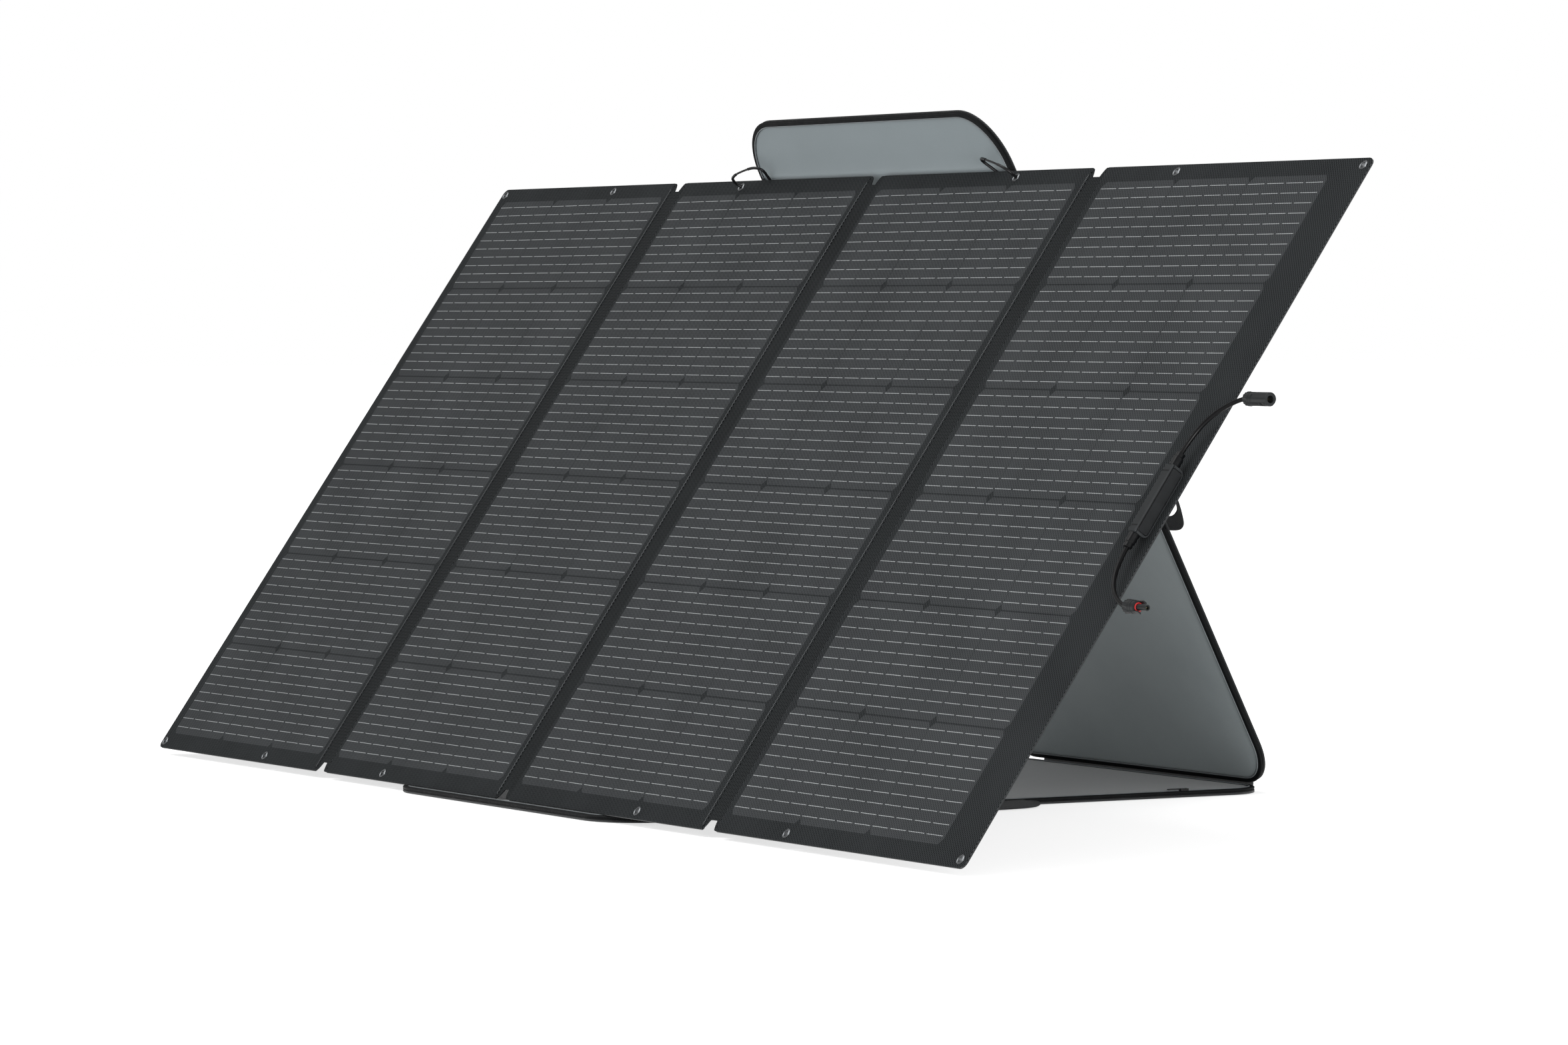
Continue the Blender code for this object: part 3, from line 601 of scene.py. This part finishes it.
def make_socket():
    """Female connector: clamp nut, flatted housing with two latch windows, latches."""
    where = connector_frame(1.0)
    nut = ribbed_nut("socket_clamp_nut", SOCKET_NUT_LENGTH, where)
    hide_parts("socket_nut")
    start = where @ Matrix.Translation((0.0, 0.0, SOCKET_NUT_LENGTH + GAP))
    shape = bmesh.new()
    sides = 48
    rings = []
    for height, radius in SOCKET_PROFILE:
        outside = radius > SOCKET_SKIN
        windowed = outside and WINDOW_SPAN[0] < height < WINDOW_SPAN[1]
        ring = []
        for i in range(sides):
            angle = math.tau * i / sides
            reach = radius
            if outside and height > SOCKET_FLAT_FROM:
                # two flats, on the panel's front and back sides, up to the mouth
                reach = min(radius, SOCKET_FLAT_HALF / max(abs(math.cos(angle)), 0.2))
            if windowed and abs(math.sin(angle)) > 0.93:
                reach = WINDOW_RADIUS
            ring.append(shape.verts.new((reach * math.cos(angle), reach * math.sin(angle),
                                         height)))
        rings.append(ring)
    join_rings(shape, rings)
    shape.faces.new(rings[0])
    shape.faces.new(list(reversed(rings[-1])))
    body = finish_mesh("socket_housing", shape, CONNECTOR, start, "right_wing", 30.0)
    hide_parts("socket_body")
    shape = bmesh.new()
    for sign in (-1.0, 1.0):
        add_box(shape, (-0.0012, sign * 0.0086 - 0.0004, 0.0070),
                (0.0012, sign * 0.0086 + 0.0004, 0.0195))
        add_box(shape, (-0.0028, sign * 0.0066 - 0.0006, 0.0225),
                (0.0028, sign * 0.0066 + 0.0006, 0.0300))
    keys = finish_mesh("socket_latches", shape, GLAND, start, "right_wing")
    bevel(keys, 0.0003)
    dress("socket_contact", CONTACT)
    return [nut, body, keys, "socket_contact"]


def make_plug():
    """Male connector: clamp nut, stepped nose with a seal ring, and two prongs."""
    where = connector_frame(-1.0)
    nut = ribbed_nut("plug_clamp_nut", PLUG_NUT_LENGTH, where)
    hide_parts("plug_nut")
    start = where @ Matrix.Translation((0.0, 0.0, PLUG_NUT_LENGTH + GAP))
    body = turned("plug_housing", (
        (0.0180, 0.0), (0.0180, 0.0021), (0.0315, 0.0021), (0.0320, 0.0026),
        (0.0320, 0.0034), (0.0312, 0.0040), (0.0105, 0.0041), (0.0103, 0.0072),
        (0.0092, 0.0082), (0.0040, 0.0082), (0.0035, 0.0087), (0.0, 0.0087),
        (0.0, 0.0)), CONNECTOR, start, "right_wing", 36)
    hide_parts("plug_body")
    shape = bmesh.new()
    for sign in (-1.0, 1.0):
        add_box(shape, (-0.0029, sign * 0.0071 - 0.0007, 0.0090),
                (0.0029, sign * 0.0071 + 0.0007, 0.0196))
        add_box(shape, (-0.0029, sign * 0.0074 - 0.0009, 0.0170),
                (0.0029, sign * 0.0074 + 0.0009, 0.0200))
    prongs = finish_mesh("plug_prongs", shape, CONNECTOR, start, "right_wing")
    bevel(prongs, 0.0003)
    ring = [(0.0119 + 0.0009 * math.sin(math.tau * i / 10),
             0.0051 + 0.0009 * math.cos(math.tau * i / 10)) for i in range(10)]
    seal = turned("plug_seal_ring", ring, SEAL, start, "right_wing", 32, closed=True)
    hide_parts("plug_seal")
    dress("plug_pin", CONTACT)
    return [nut, body, prongs, seal, "plug_pin"]


# ---- panels ---------------------------------------------------------------------------
CELL_ROWS = 6
CELL_COLUMNS = 3
COLUMN_GAP = 0.0006
CELL_CUT = (0.0070, 0.0080)
CELL_RISE = 0.00012
BAR_RISE = 0.00022
BAR_HALF = 0.00042
BARS_PER_CELL = 10
BAR_PITCH = 0.0160
BAR_INSET = 0.0112
DASHES = 12                       # each busbar shows as this many dashes along a row
DASH_INSET = 0.0008
DASH_PITCH = 0.0434
DASH_LENGTH = 0.0376


def make_cells(index):
    """The cells' faces under the film: three columns by six rows with cut corners."""
    shape = bmesh.new()
    bars = bmesh.new()
    left = CELL_LEFT[index]
    cut_x, cut_y = CELL_CUT
    for row in range(CELL_ROWS):
        bottom = CELL_BOTTOM_Y + row * CELL_PITCH[1]
        low = bottom + CELL_GAP / 2.0 * (row > 0)
        high = bottom + CELL_PITCH[1] - CELL_GAP / 2.0 * (row < CELL_ROWS - 1)
        for column in range(CELL_COLUMNS):
            start = left + column * CELL_PITCH[0] + COLUMN_GAP / 2.0 * (column > 0)
            end = left + (column + 1) * CELL_PITCH[0]
            end -= COLUMN_GAP / 2.0 * (column < CELL_COLUMNS - 1)
            outline = ((start + cut_x, low), (end - cut_x, low), (end, low + cut_y),
                       (end, high - cut_y), (end - cut_x, high), (start + cut_x, high),
                       (start, high - cut_y), (start, low + cut_y))
            add_prism(shape, outline, 0.00002, CELL_RISE)
        for bar in range(BARS_PER_CELL):
            y = bottom + CELL_PITCH[1] - BAR_INSET - bar * BAR_PITCH
            for dash in range(DASHES):
                x = left + DASH_INSET + dash * DASH_PITCH
                add_box(bars, (x, y - BAR_HALF, CELL_RISE + 0.00001),
                        (x + DASH_LENGTH, y + BAR_HALF, BAR_RISE))
    body = PANEL_BODY[index]
    cells = finish_mesh(f"cells_{index + 1}", shape, CELL, PANEL, body)
    lines = finish_mesh(f"busbars_{index + 1}", bars, BUSBAR, PANEL, body)


NOTCH_HALF = (0.0060, 0.0055, 0.0090)
NOTCH_DEPTH = 0.0155


def notch_depth(x, flat):
    """How far the notch cuts in, at a distance from the fold's middle."""
    away = abs(x)
    if away <= flat:
        return NOTCH_DEPTH
    shoulder = 0.0075 if x > 0 else 0.0105
    share = min(1.0, (away - flat) / shoulder)
    return NOTCH_DEPTH * (1.0 - share) ** 2.2 + 0.0003


def make_fold(index):
    """The flush strip between two panels, notched at both ends. The outer two stay on no body;
    the middle one rides on the centre.
    """
    middle = FOLD_X[index]
    flat = NOTCH_HALF[index]
    left, right = -FOLD_HALF - 0.0002, FOLD_HALF + 0.0001
    offsets = sorted({left, right, -flat, flat, 0.0, -0.003, 0.003,
                      *[flat + k for k in (0.0004, 0.0009, 0.0016, 0.0026, 0.0040, 0.0060)],
                      *[-flat - k for k in (0.0004, 0.0009, 0.0016, 0.0026, 0.0040, 0.0060,
                                            0.0085)]})
    offsets = [x for x in offsets if left <= x <= right]
    rows = 24
    top, thickness = -0.00002, 0.0013
    shape = bmesh.new()
    layers = []
    for z in (top, top - thickness):
        grid = []
        for x in offsets:
            cut = notch_depth(x, flat)
            low, high = cut, PANEL_HEIGHT - cut
            grid.append([shape.verts.new((middle + x, low + (high - low) * k / rows, z))
                         for k in range(rows + 1)])
        layers.append(grid)
    upper, lower = layers
    last = len(offsets) - 1
    for i in range(last):
        for k in range(rows):
            shape.faces.new((upper[i][k], upper[i + 1][k], upper[i + 1][k + 1],
                             upper[i][k + 1]))
            shape.faces.new((lower[i][k], lower[i][k + 1], lower[i + 1][k + 1],
                             lower[i + 1][k]))
        for k in (0, rows):
            shape.faces.new((upper[i][k], lower[i][k], lower[i + 1][k], upper[i + 1][k]))
    for i in (0, last):
        for k in range(rows):
            shape.faces.new((upper[i][k], upper[i][k + 1], lower[i][k + 1], lower[i][k]))
    strip = finish_mesh(f"fold_strip_{index + 1}", shape, STRIP, PANEL, None)
    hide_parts(f"fold_fabric_{index + 1}")
    if index == 0:
        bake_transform(strip)
    elif index == 2:
        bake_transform(strip)
    else:
        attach(strip, "centre")


RIDGE_PITCH = 0.00593
RIDGE_INSET = 0.004


def make_ridge(index):
    """Raised scalloped edge and its stitches, where the left film ends beside a fold; the
    stitches are made light as a painted highlight.
    """
    edge = FOLD_X[index] - FOLD_HALF
    shape = bmesh.new()
    steps_per_scallop = 6
    length = PANEL_HEIGHT - 2.0 * RIDGE_INSET
    steps = int(length / RIDGE_PITCH * steps_per_scallop)
    rings = []
    for i in range(steps + 1):
        y = RIDGE_INSET + length * i / steps
        phase = (i % steps_per_scallop) / steps_per_scallop
        reach = 0.0010 * abs(math.sin(math.pi * phase))
        profile = ((edge - 0.0048, 0.00002), (edge - 0.0036, 0.00045),
                   (edge - 0.0016, 0.0009), (edge + reach * 0.6, 0.0009),
                   (edge + reach, 0.0004), (edge + reach, -0.00002))
        rings.append([shape.verts.new((x, y, z)) for x, z in profile])
    join_rings(shape, rings)
    shape.faces.new(list(reversed(rings[0])))
    shape.faces.new(rings[-1])
    ridge = finish_mesh(f"fold_ridge_{index + 1}", shape, STRIP, PANEL,
                        PANEL_BODY[index], 60.0)
    # painted highlight: the zigzag stitches are made light to stand for the highlights along
    # the ridge's scallops
    highlight_zigzag = [Vector((edge - (0.0042 if i % 2 else 0.0008), 0.006 + i * RIDGE_PITCH / 2.0,
                      0.00055 if i % 2 else 0.0011))
              for i in range(int((PANEL_HEIGHT - 0.012) / RIDGE_PITCH * 2.0))]
    stitches = tube(f"fold_stitches_{index + 1}", highlight_zigzag, 0.00028, STITCH, PANEL,
                    PANEL_BODY[index], resolution=1)


def make_eyelets():
    """Rolled two-part eyelets with a flared throat."""
    front = 0.0011
    back = BOARD_BOTTOM - 0.0011
    profile = [(front - 0.0002, 0.0040), (front + 0.0001, 0.0044), (front, 0.0050),
               (front - 0.0003, 0.0054), (front - 0.0004, 0.0058), (front - 0.0001, 0.0064),
               (front - 0.0003, 0.0069), (front - 0.0008, 0.0070), (front - 0.0010, 0.0066),
               (front - 0.0010, 0.0046), (back + 0.0008, 0.0046), (back + 0.0008, 0.0070),
               (back + 0.0003, 0.0070), (back, 0.0067), (back, 0.0045),
               (back + 0.0004, 0.0041)]
    for column, x in enumerate(GROMMET_X):
        for row, y in zip(("lower", "upper"), GROMMET_Y):
            name = f"eyelet_{row}_{column + 1}"
            where = PANEL @ Matrix.Translation((x, y, 0.0))
            made = turned(name, profile, STEEL, where, GROMMET_BODY[column], 28, True)
            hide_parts(f"grommet_{row}_{column + 1}")


# ---- hooks ----------------------------------------------------------------------------
HOOK_TURN = math.radians(11.5)
# closed loop of wire: along the hook and out of the panel; it passes the eyelet at 0
HOOK_LOOP = ((0.0, 0.0), (-0.0016, 0.0110), (0.0035, 0.0210), (0.0190, 0.0265),
             (0.0400, 0.0288), (0.0580, 0.0292), (0.0690, 0.0270), (0.0755, 0.0215),
             (0.0758, 0.0145), (0.0725, 0.0065), (0.0696, -0.0010), (0.0665, -0.0050),
             (0.0570, -0.0078), (0.0400, -0.0098), (0.0200, -0.0104), (0.0050, -0.0100),
             (0.0006, -0.0070))
GATE_SPAN = (0.018, 0.052)
WIRE_RADIUS = 0.0021


def hook_place(sign, along, out):
    """A point of the hook's loop in the panel's frame; the right hook mirrors the left."""
    x = GROMMET_X[2] if sign > 0 else GROMMET_X[3]
    y = GROMMET_Y[1] + along * math.sin(HOOK_TURN)
    return Vector((x + sign * along * math.cos(HOOK_TURN), y, out))


def make_hook(side, sign):
    """Wire hook through the eyelet and round behind the panel, with its sprung gate."""
    laps = [Vector((*point, 0.0)) for point in HOOK_LOOP * 3]
    lap = even_points(laps, 540)[180:360]
    start, end = GATE_SPAN
    on_gate = [p.y > 0.010 and start < p.x < end for p in lap]
    opening = next(i for i in range(len(lap)) if on_gate[i - 1] and not on_gate[i])
    lap = lap[opening:] + lap[:opening]
    on_gate = on_gate[opening:] + on_gate[:opening]
    gate = [p for p, inside in zip(lap, on_gate) if inside]
    wire = [p for p, inside in zip(lap, on_gate) if not inside]
    made = tube(f"hook_wire_{side}", [hook_place(sign, p.x, p.y) for p in wire],
                WIRE_RADIUS, WIRE, PANEL, "leg")
    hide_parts(f"hook_{side}")
    bar = tube(f"gate_bar_{side}", [hook_place(sign, p.x, p.y) for p in gate], 0.0015, WIRE,
               PANEL, f"gate_{side}")
    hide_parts(f"hook_gate_{side}")


LOOP_AT = (0.3379, 0.9660)
# along the leg and out from its lining
LOOP_PROFILE = ((-0.0120, 0.0007), (-0.0085, 0.0007), (-0.0062, 0.0066), (-0.0050, 0.0072),
                (0.0050, 0.0072), (0.0062, 0.0066), (0.0085, 0.0007), (0.0120, 0.0007))


def make_hook_loop(side, sign):
    """Belt loop on the leg that holds the hook's far side."""
    path = resample([Vector((-sign * LOOP_AT[0], LOOP_AT[1] + y, z))
                     for y, z in LOOP_PROFILE], 30)
    across = [Vector((0.0035, 0.0, 0.0))] * len(path)
    strap(f"belt_loop_{side}", f"hook_loop_{side}", path, across, 0.0008, LEG, "leg", 0.0022)


# ---- straps ---------------------------------------------------------------------------
STRAP_SECTION = ((-1.0, 0.0), (-0.97, 0.36), (-0.90, 0.5), (-0.80, 0.40), (-0.4, 0.44),
                 (0.0, 0.40), (0.4, 0.44), (0.80, 0.40), (0.90, 0.5), (0.97, 0.36))


def strap(name, node, path, across, thickness, where, body, stitch_pitch):
    """Webbing with rolled edges and a row of stitches along each of them."""
    section = [*STRAP_SECTION, (1.0, 0.0),
               *[(a, -b) for a, b in reversed(STRAP_SECTION[1:])]]
    shape = bmesh.new()
    thread = bmesh.new()
    rings = []
    since = 0.0
    for i, (point, side) in enumerate(zip(path, across)):
        run = (path[min(i + 1, len(path) - 1)] - path[max(i - 1, 0)]).normalized()
        lift = side.cross(run).normalized()
        rings.append([shape.verts.new(point + side * a + lift * thickness * b)
                      for a, b in section])
        since += (point - path[i - 1]).length if i else 0.0
        if since >= stitch_pitch:
            since = 0.0
            half = (run * stitch_pitch * 0.32, side.normalized() * 0.0002, lift * 0.0001)
            for edge in (-0.78, 0.78):
                for face in (-0.46, 0.46):
                    add_turned_box(thread, point + side * edge + lift * thickness * face, half)
    join_rings(shape, rings)
    shape.faces.new(list(reversed(rings[0])))
    shape.faces.new(rings[-1])
    made = finish_mesh(name, shape, WEBBING, where, body, 50.0)
    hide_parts(node)
    finish_mesh(f"{name}_stitches", thread, THREAD, where, body)


def stitch_line(name, outline, pitch, height, where, body):
    """A closed row of stitches lying flat along an outline."""
    line = [Vector((x, y, height)) for x, y in outline]
    line.append(line[0])
    points = resample(line, int(line_length(line) / pitch))
    shape = bmesh.new()
    for before, point, after in zip(points, points[1:], points[2:]):
        run = (after - before).normalized()
        side = Vector((run.y, -run.x, 0.0))
        add_turned_box(shape, point, (run * pitch * 0.34, side * 0.0004,
                                      Vector((0.0, 0.0, 0.00025))))
    made = finish_mesh(name, shape, STITCH, where, body)


def make_back_stitches():
    """Seams round the back of each panel and of the case's raised half."""
    edges = [-PANEL_HALF_WIDTH]
    for middle in FOLD_X:
        edges += [middle - FOLD_HALF, middle + FOLD_HALF]
    edges.append(PANEL_HALF_WIDTH)
    for index in range(4):
        outline = rounded_box(edges[2 * index] + 0.0035, edges[2 * index + 1] - 0.0035,
                              0.0035, PANEL_HEIGHT - 0.0035, [0.007] * 4)
        stitch_line(f"board_stitches_{index + 1}", outline, 0.0060,
                    BOARD_BOTTOM - 0.0001, PANEL, PANEL_BODY[index])
    stitch_line("leg_shell_stitches", case_outline(0.0165), 0.0055,
                -CASE_THICKNESS - 0.0001, LEG, "leg")


STRAP_HALF = 0.0115
STRAP_TWIST = math.radians(26.0)
HANDLE_ROUTE = (
    (0.330, 0.4195), (0.352, 0.4190), (0.370, 0.4215), (0.3835, 0.4300),
    (0.3905, 0.4440), (0.3945, 0.4620), (0.3975, 0.4900), (0.3985, 0.5380),
    (0.3975, 0.5860), (0.3945, 0.6140), (0.3905, 0.6320), (0.3835, 0.6460),
    (0.370, 0.6545), (0.352, 0.6570), (0.330, 0.6565),
)


def make_handle(name, node, side, start, height, lean, where, body):
    """Carrying handle out from the case's long side and back, its edge leaning."""
    stations = [y for _, y in HANDLE_ROUTE]
    route = [(start, stations[0]), *HANDLE_ROUTE[1:-1], (start, stations[-1])]
    path = even_points([(side * x, y, height) for x, y in route], 180)
    across = []
    for before, after in zip([path[0], *path], [*path[1:], path[-1]]):
        run = (after - before).normalized()
        turn = lean * run.y ** 2
        outward = Vector((run.y, -run.x, 0.0)).normalized() * side
        across.append((outward * math.cos(turn) + Vector((0.0, 0.0, math.sin(turn))))
                      * STRAP_HALF)
    strap(name, node, path, across, 0.0018, where, body, 0.0040)


# ---- carrying case --------------------------------------------------------------------
def case_outline(inset):
    """Outline of a case half, a distance in from its edge; y runs out from the spine."""
    half = CASE_HALF_WIDTH - inset
    radii = [max(r - inset, 0.002) for r in CASE_RADII]
    return rounded_box(-half, half, HINGE_GAP + inset, HINGE_GAP + CASE_LENGTH - inset,
                       radii, 16)


RIM_WIDTH = 0.0075
# rings of the case's outline: distance in from its edge, and height
SHELL_RINGS = ((0.3000, -0.0061), (0.0200, -0.0061), (0.0006, -0.0061), (0.0000, -0.0066),
               (-0.0001, -0.0076), (0.0004, -0.0084), (0.0018, -0.0090), (0.0120, -0.0090),
               (0.0128, -0.0086), (0.0136, -0.0090), (0.0500, -0.0089), (0.1400, -0.0090),
               (0.2700, -0.0089))
RIM_RINGS = ((0.0010, -0.0058), (0.0002, -0.0054), (0.0000, -0.0046), (0.0003, -0.0038),
             (0.0011, -0.0035), (0.0011, -0.0029), (0.0002, -0.0026), (-0.0002, -0.0014),
             (0.0006, -0.0004), (0.0018, 0.0001), (0.0034, 0.0000), (0.0042, -0.0003),
             (0.0052, 0.0000), (0.0064, 0.0000), (0.0071, -0.0006), (0.0073, -0.0018),
             (0.0073, -0.0058))
TOOTH_PITCH = 0.0024
TEETH_FROM = 0.060


def loft(name, rings, finish, where, body, closed=False):
    """A piece of the case from rings of its outline."""
    shape = bmesh.new()
    made = [[shape.verts.new((x, y, height)) for x, y in case_outline(inset)]
            for inset, height in rings]
    join_rings(shape, made, closed)
    if not closed:
        shape.faces.new(list(reversed(made[0])))
        shape.faces.new(made[-1])
    return finish_mesh(name, shape, finish, where, body, 50.0)


def make_zip_teeth(name, where, body):
    """Teeth of the zip in the groove of the rim, all round but at the spine."""
    line = [Vector((x, y, -0.0032)) for x, y in case_outline(0.0008)]
    line.append(line[0])
    length = line_length(line)
    shape = bmesh.new()
    points = resample(line, int(length / TOOTH_PITCH))
    for before, point, after in zip(points, points[1:], points[2:]):
        if point.y < TEETH_FROM:
            continue
        run = (after - before).normalized()
        out = Vector((run.y, -run.x, 0.0))
        add_turned_box(shape, point, (run * 0.0006, out * 0.0007, Vector((0.0, 0.0, 0.0005))))
    teeth = finish_mesh(f"{name}_zip_teeth", shape, GLAND, where, body)


def make_case_half(name, where, body, lining_finish):
    """One half of the case: skin, edge binding with zip teeth, bead and lining."""
    shell = loft(f"{name}_outer_skin", SHELL_RINGS, SHELL, where, body)
    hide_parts(f"{name}_shell")
    rim = loft(f"{name}_edge_binding", RIM_RINGS, BINDING, where, body, closed=True)
    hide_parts(f"{name}_rim")
    make_zip_teeth(name, where, body)
    line = [Vector((x, y, -0.0001)) for x, y in case_outline(RIM_WIDTH + 0.0004)]
    bead = sweep(f"{name}_bead", line, round_section(0.0010), BEAD, where, body, closed=True)
    lining = make_lining(name, where, body, lining_finish)
    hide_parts(f"{name}_lining")


def make_lining(name, where, body, finish):
    """Padded lining: rings of the outline, crowned a little, on a flat back."""
    shape = bmesh.new()
    low, top = -CASE_THICKNESS + 0.0034, -0.0012
    rings = []
    insets = (0.0081, 0.0081, 0.0092, 0.0130, 0.0200, 0.0300, 0.0500, 0.0900, 0.1400,
              0.2000, 0.2700)
    for k, inset in enumerate(insets):
        rise = top + 0.0009 * (1.0 - math.exp(-(inset - insets[0]) / 0.02))
        if k == 0:
            rise = low
        elif k == 1:
            rise = top - 0.0008
        ring = []
        for x, y in case_outline(inset):
            ripple = 0.00025 * math.sin(x * 31.0 + 2.0 * math.sin(y * 7.0)) \
                + 0.00025 * math.sin(y * 23.0 + 3.0 * math.sin(x * 9.0))
            ring.append(shape.verts.new((x, y, rise + (ripple if k > 3 else 0.0))))
        rings.append(ring)
    join_rings(shape, rings)
    shape.faces.new(rings[-1])
    shape.faces.new(list(reversed(rings[0])))
    return finish_mesh(f"{name}_lining_pad", shape, finish, where, body, 60.0)


def make_spine():
    """Spine strip from under the base's rear edge up behind the leg's foot."""
    thickness, turn = 0.0012, 0.008
    half = CASE_HALF_WIDTH - CASE_RADII[0] - 0.004
    reach = SPINE_REACH - thickness / 2.0
    floor = thickness / 2.0 - CASE_THICKNESS
    profile = [(-HINGE_GAP + GAP, floor)]
    profile += arc((reach - turn, floor + turn), turn, -math.pi / 2, 0.0, 8)
    profile += [(reach, 0.004), (reach, 0.008)]
    steps = 120
    shape = bmesh.new()
    rings = []
    for i in range(steps + 1):
        x = -half + 2.0 * half * i / steps
        outer, inner = [], []
        for k, (y, z) in enumerate(profile):
            before, after = profile[max(k - 1, 0)], profile[min(k + 1, len(profile) - 1)]
            run = Vector((after[0] - before[0], after[1] - before[1])).normalized()
            off = Vector((run.y, -run.x)) * thickness / 2.0
            sway = 0.0002 * math.sin(x * 60.0) * (k / len(profile)) ** 2
            outer.append((x, -(y + off.x + sway), z + off.y))
            inner.append((x, -(y - off.x + sway), z - off.y))
        rings.append([shape.verts.new(p) for p in [*outer, *reversed(inner)]])
    join_rings(shape, rings)
    shape.faces.new(list(reversed(rings[0])))
    shape.faces.new(rings[-1])
    strip = finish_mesh("spine_cloth", shape, SHELL, BASE, "base", 50.0)
    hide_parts("spine_strip")
    edge = [Vector((-half + 2.0 * half * i / 40, -reach, 0.0078)) for i in range(41)]
    piping = sweep("spine_piping", edge, round_section(0.0010), BINDING, BASE, "base")


def make_box_details():
    """Dark face with its frame on the junction box's outer side, and two bars on the lid."""
    x = BOX_AT[0] + BOX_SIZE[0] / 2.0
    to_side = PANEL @ Matrix.Translation((x, BOX_AT[1], 0.0108)) @ Matrix.Rotation(
        math.pi / 2, 4, "Y")
    shape = bmesh.new()
    add_prism(shape, rounded_box(-0.0072, 0.0072, -0.0450, 0.0450, [0.0030] * 4),
              -0.0001, 0.0003)
    face = finish_mesh("box_side_face", shape, BOX_FACE, to_side, "right_wing")
    ring = [Vector((a, b, 0.0002)) for a, b in
            rounded_box(-0.0082, 0.0082, -0.0462, 0.0462, [0.0036] * 4)]
    border = sweep("box_side_border", ring, round_section(0.0007), GLAND, to_side,
                   "right_wing", closed=True)
    shape = bmesh.new()
    for y in (-0.0405, 0.0405):
        add_box(shape, (BOX_AT[0] - 0.0072, BOX_AT[1] + y - 0.0006, BOX_TOP - 0.0001),
                (BOX_AT[0] + 0.0072, BOX_AT[1] + y + 0.0006, BOX_TOP + 0.0003))
    bars = finish_mesh("box_lid_bars", shape, GLAND, PANEL, "right_wing")


# ---- everything -----------------------------------------------------------------------
make_camera()
make_leads()

for number in range(4):
    dress(f"front_film_{number + 1}", FILM)
    dress(f"cell_sheet_{number + 1}", CELL)
    dress(f"backing_board_{number + 1}", BOARD)
    make_cells(number)
for number in range(3):
    make_fold(number)
    make_ridge(number)
make_eyelets()

for node, finish in (("junction_box_body", BOX), ("junction_box_lid", BOX),
                     ("diode_board", CIRCUIT), ("cable_gland_lower", GLAND),
                     ("cable_gland_upper", GLAND), ("zip_slider", WIRE)):
    dress(node, finish)
make_box_details()
for hook_side, hook_sign in (("left", 1.0), ("right", -1.0)):
    make_hook(hook_side, hook_sign)
    make_hook_loop(hook_side, hook_sign)
make_case_half("base", BASE, "base", BASE_LINING)
make_case_half("leg", LEG, "leg", LEG_LINING)
make_spine()
make_back_stitches()
make_handle("leg_strap", "leg_handle", 1.0, 0.330, -CASE_THICKNESS - 0.0012, STRAP_TWIST,
            LEG, "leg")
make_handle("base_strap", "base_handle", -1.0, CASE_HALF_WIDTH + GAP,
            -CASE_THICKNESS + 0.0064, -STRAP_TWIST, BASE, "base")


# ---- floor and light ------------------------------------------------------------------
FLOOR_HALF = 60.0
FLOOR_DROP = 0.0005
FLOOR_GLOW = 0.62
WORLD_LIGHT = 0.55
WORLD_SEEN = 1.0
SUN_DIRECTION = (0.25, 0.45, -1.0)
SUN_STRENGTH = 2.2
SUN_ANGLE = math.radians(50.0)
SIDE_LIGHT_AT = (4.5, -1.0, 0.5)
SIDE_LIGHT_AIM = (0.3, 0.4, 0.2)
SIDE_LIGHT_SIZE = (1.6, 0.9)
SIDE_LIGHT_POWER = 150.0


def make_stage():
    """Pale matt floor, lit a little by itself so that it meets the background."""
    shape = bmesh.new()
    corners = [shape.verts.new((x * FLOOR_HALF, y * FLOOR_HALF, -FLOOR_DROP))
               for x, y in ((-1, -1), (1, -1), (1, 1), (-1, 1))]
    shape.faces.new(corners)
    n = Nodes("floor")
    n.set(Base_Color=n.mix(n.noise(n.position, 0.5), (0.80, 0.80, 0.80),
                           (0.82, 0.82, 0.82)), Roughness=0.9, Specular_IOR_Level=0.0)
    n.set(Emission_Color=(1.0, 1.0, 1.0, 1.0), Emission_Strength=FLOOR_GLOW)
    floor = finish_mesh("floor", shape, n.material, WORLD, None)


def make_side_light():
    """Low soft light from the right, for the case's linings and the leads."""
    data = bpy.data.lights.new("side", "AREA")
    data.shape = "RECTANGLE"
    data.size, data.size_y = SIDE_LIGHT_SIZE
    data.energy = SIDE_LIGHT_POWER
    made = bpy.data.objects.new("side", data)
    made.location = SIDE_LIGHT_AT
    aim = Vector(SIDE_LIGHT_AIM) - Vector(SIDE_LIGHT_AT)
    made.rotation_euler = aim.to_track_quat("-Z", "Y").to_euler()
    bpy.context.scene.collection.objects.link(made)


def make_sun():
    """Wide soft light from above and in front."""
    data = bpy.data.lights.new("overhead", "SUN")
    data.energy = SUN_STRENGTH
    data.angle = SUN_ANGLE
    made = bpy.data.objects.new("overhead", data)
    made.rotation_euler = Vector(SUN_DIRECTION).to_track_quat("-Z", "Y").to_euler()
    bpy.context.scene.collection.objects.link(made)


def make_world():
    """White behind the object, and dimmer as a light on it."""
    world = bpy.data.worlds.new("studio")
    world.use_nodes = True
    tree = world.node_tree
    seen = tree.nodes.new("ShaderNodeLightPath")
    strength = tree.nodes.new("ShaderNodeMapRange")
    strength.inputs["To Min"].default_value = WORLD_LIGHT
    strength.inputs["To Max"].default_value = WORLD_SEEN
    back = tree.nodes["Background"]
    back.inputs["Color"].default_value = (1.0, 1.0, 1.0, 1.0)
    tree.links.new(seen.outputs["Is Camera Ray"], strength.inputs["Value"])
    tree.links.new(strength.outputs["Result"], back.inputs["Strength"])
    bpy.context.scene.world = world


make_stage()
make_world()
make_sun()
make_side_light()
bpy.context.scene.view_settings.view_transform = "Standard"
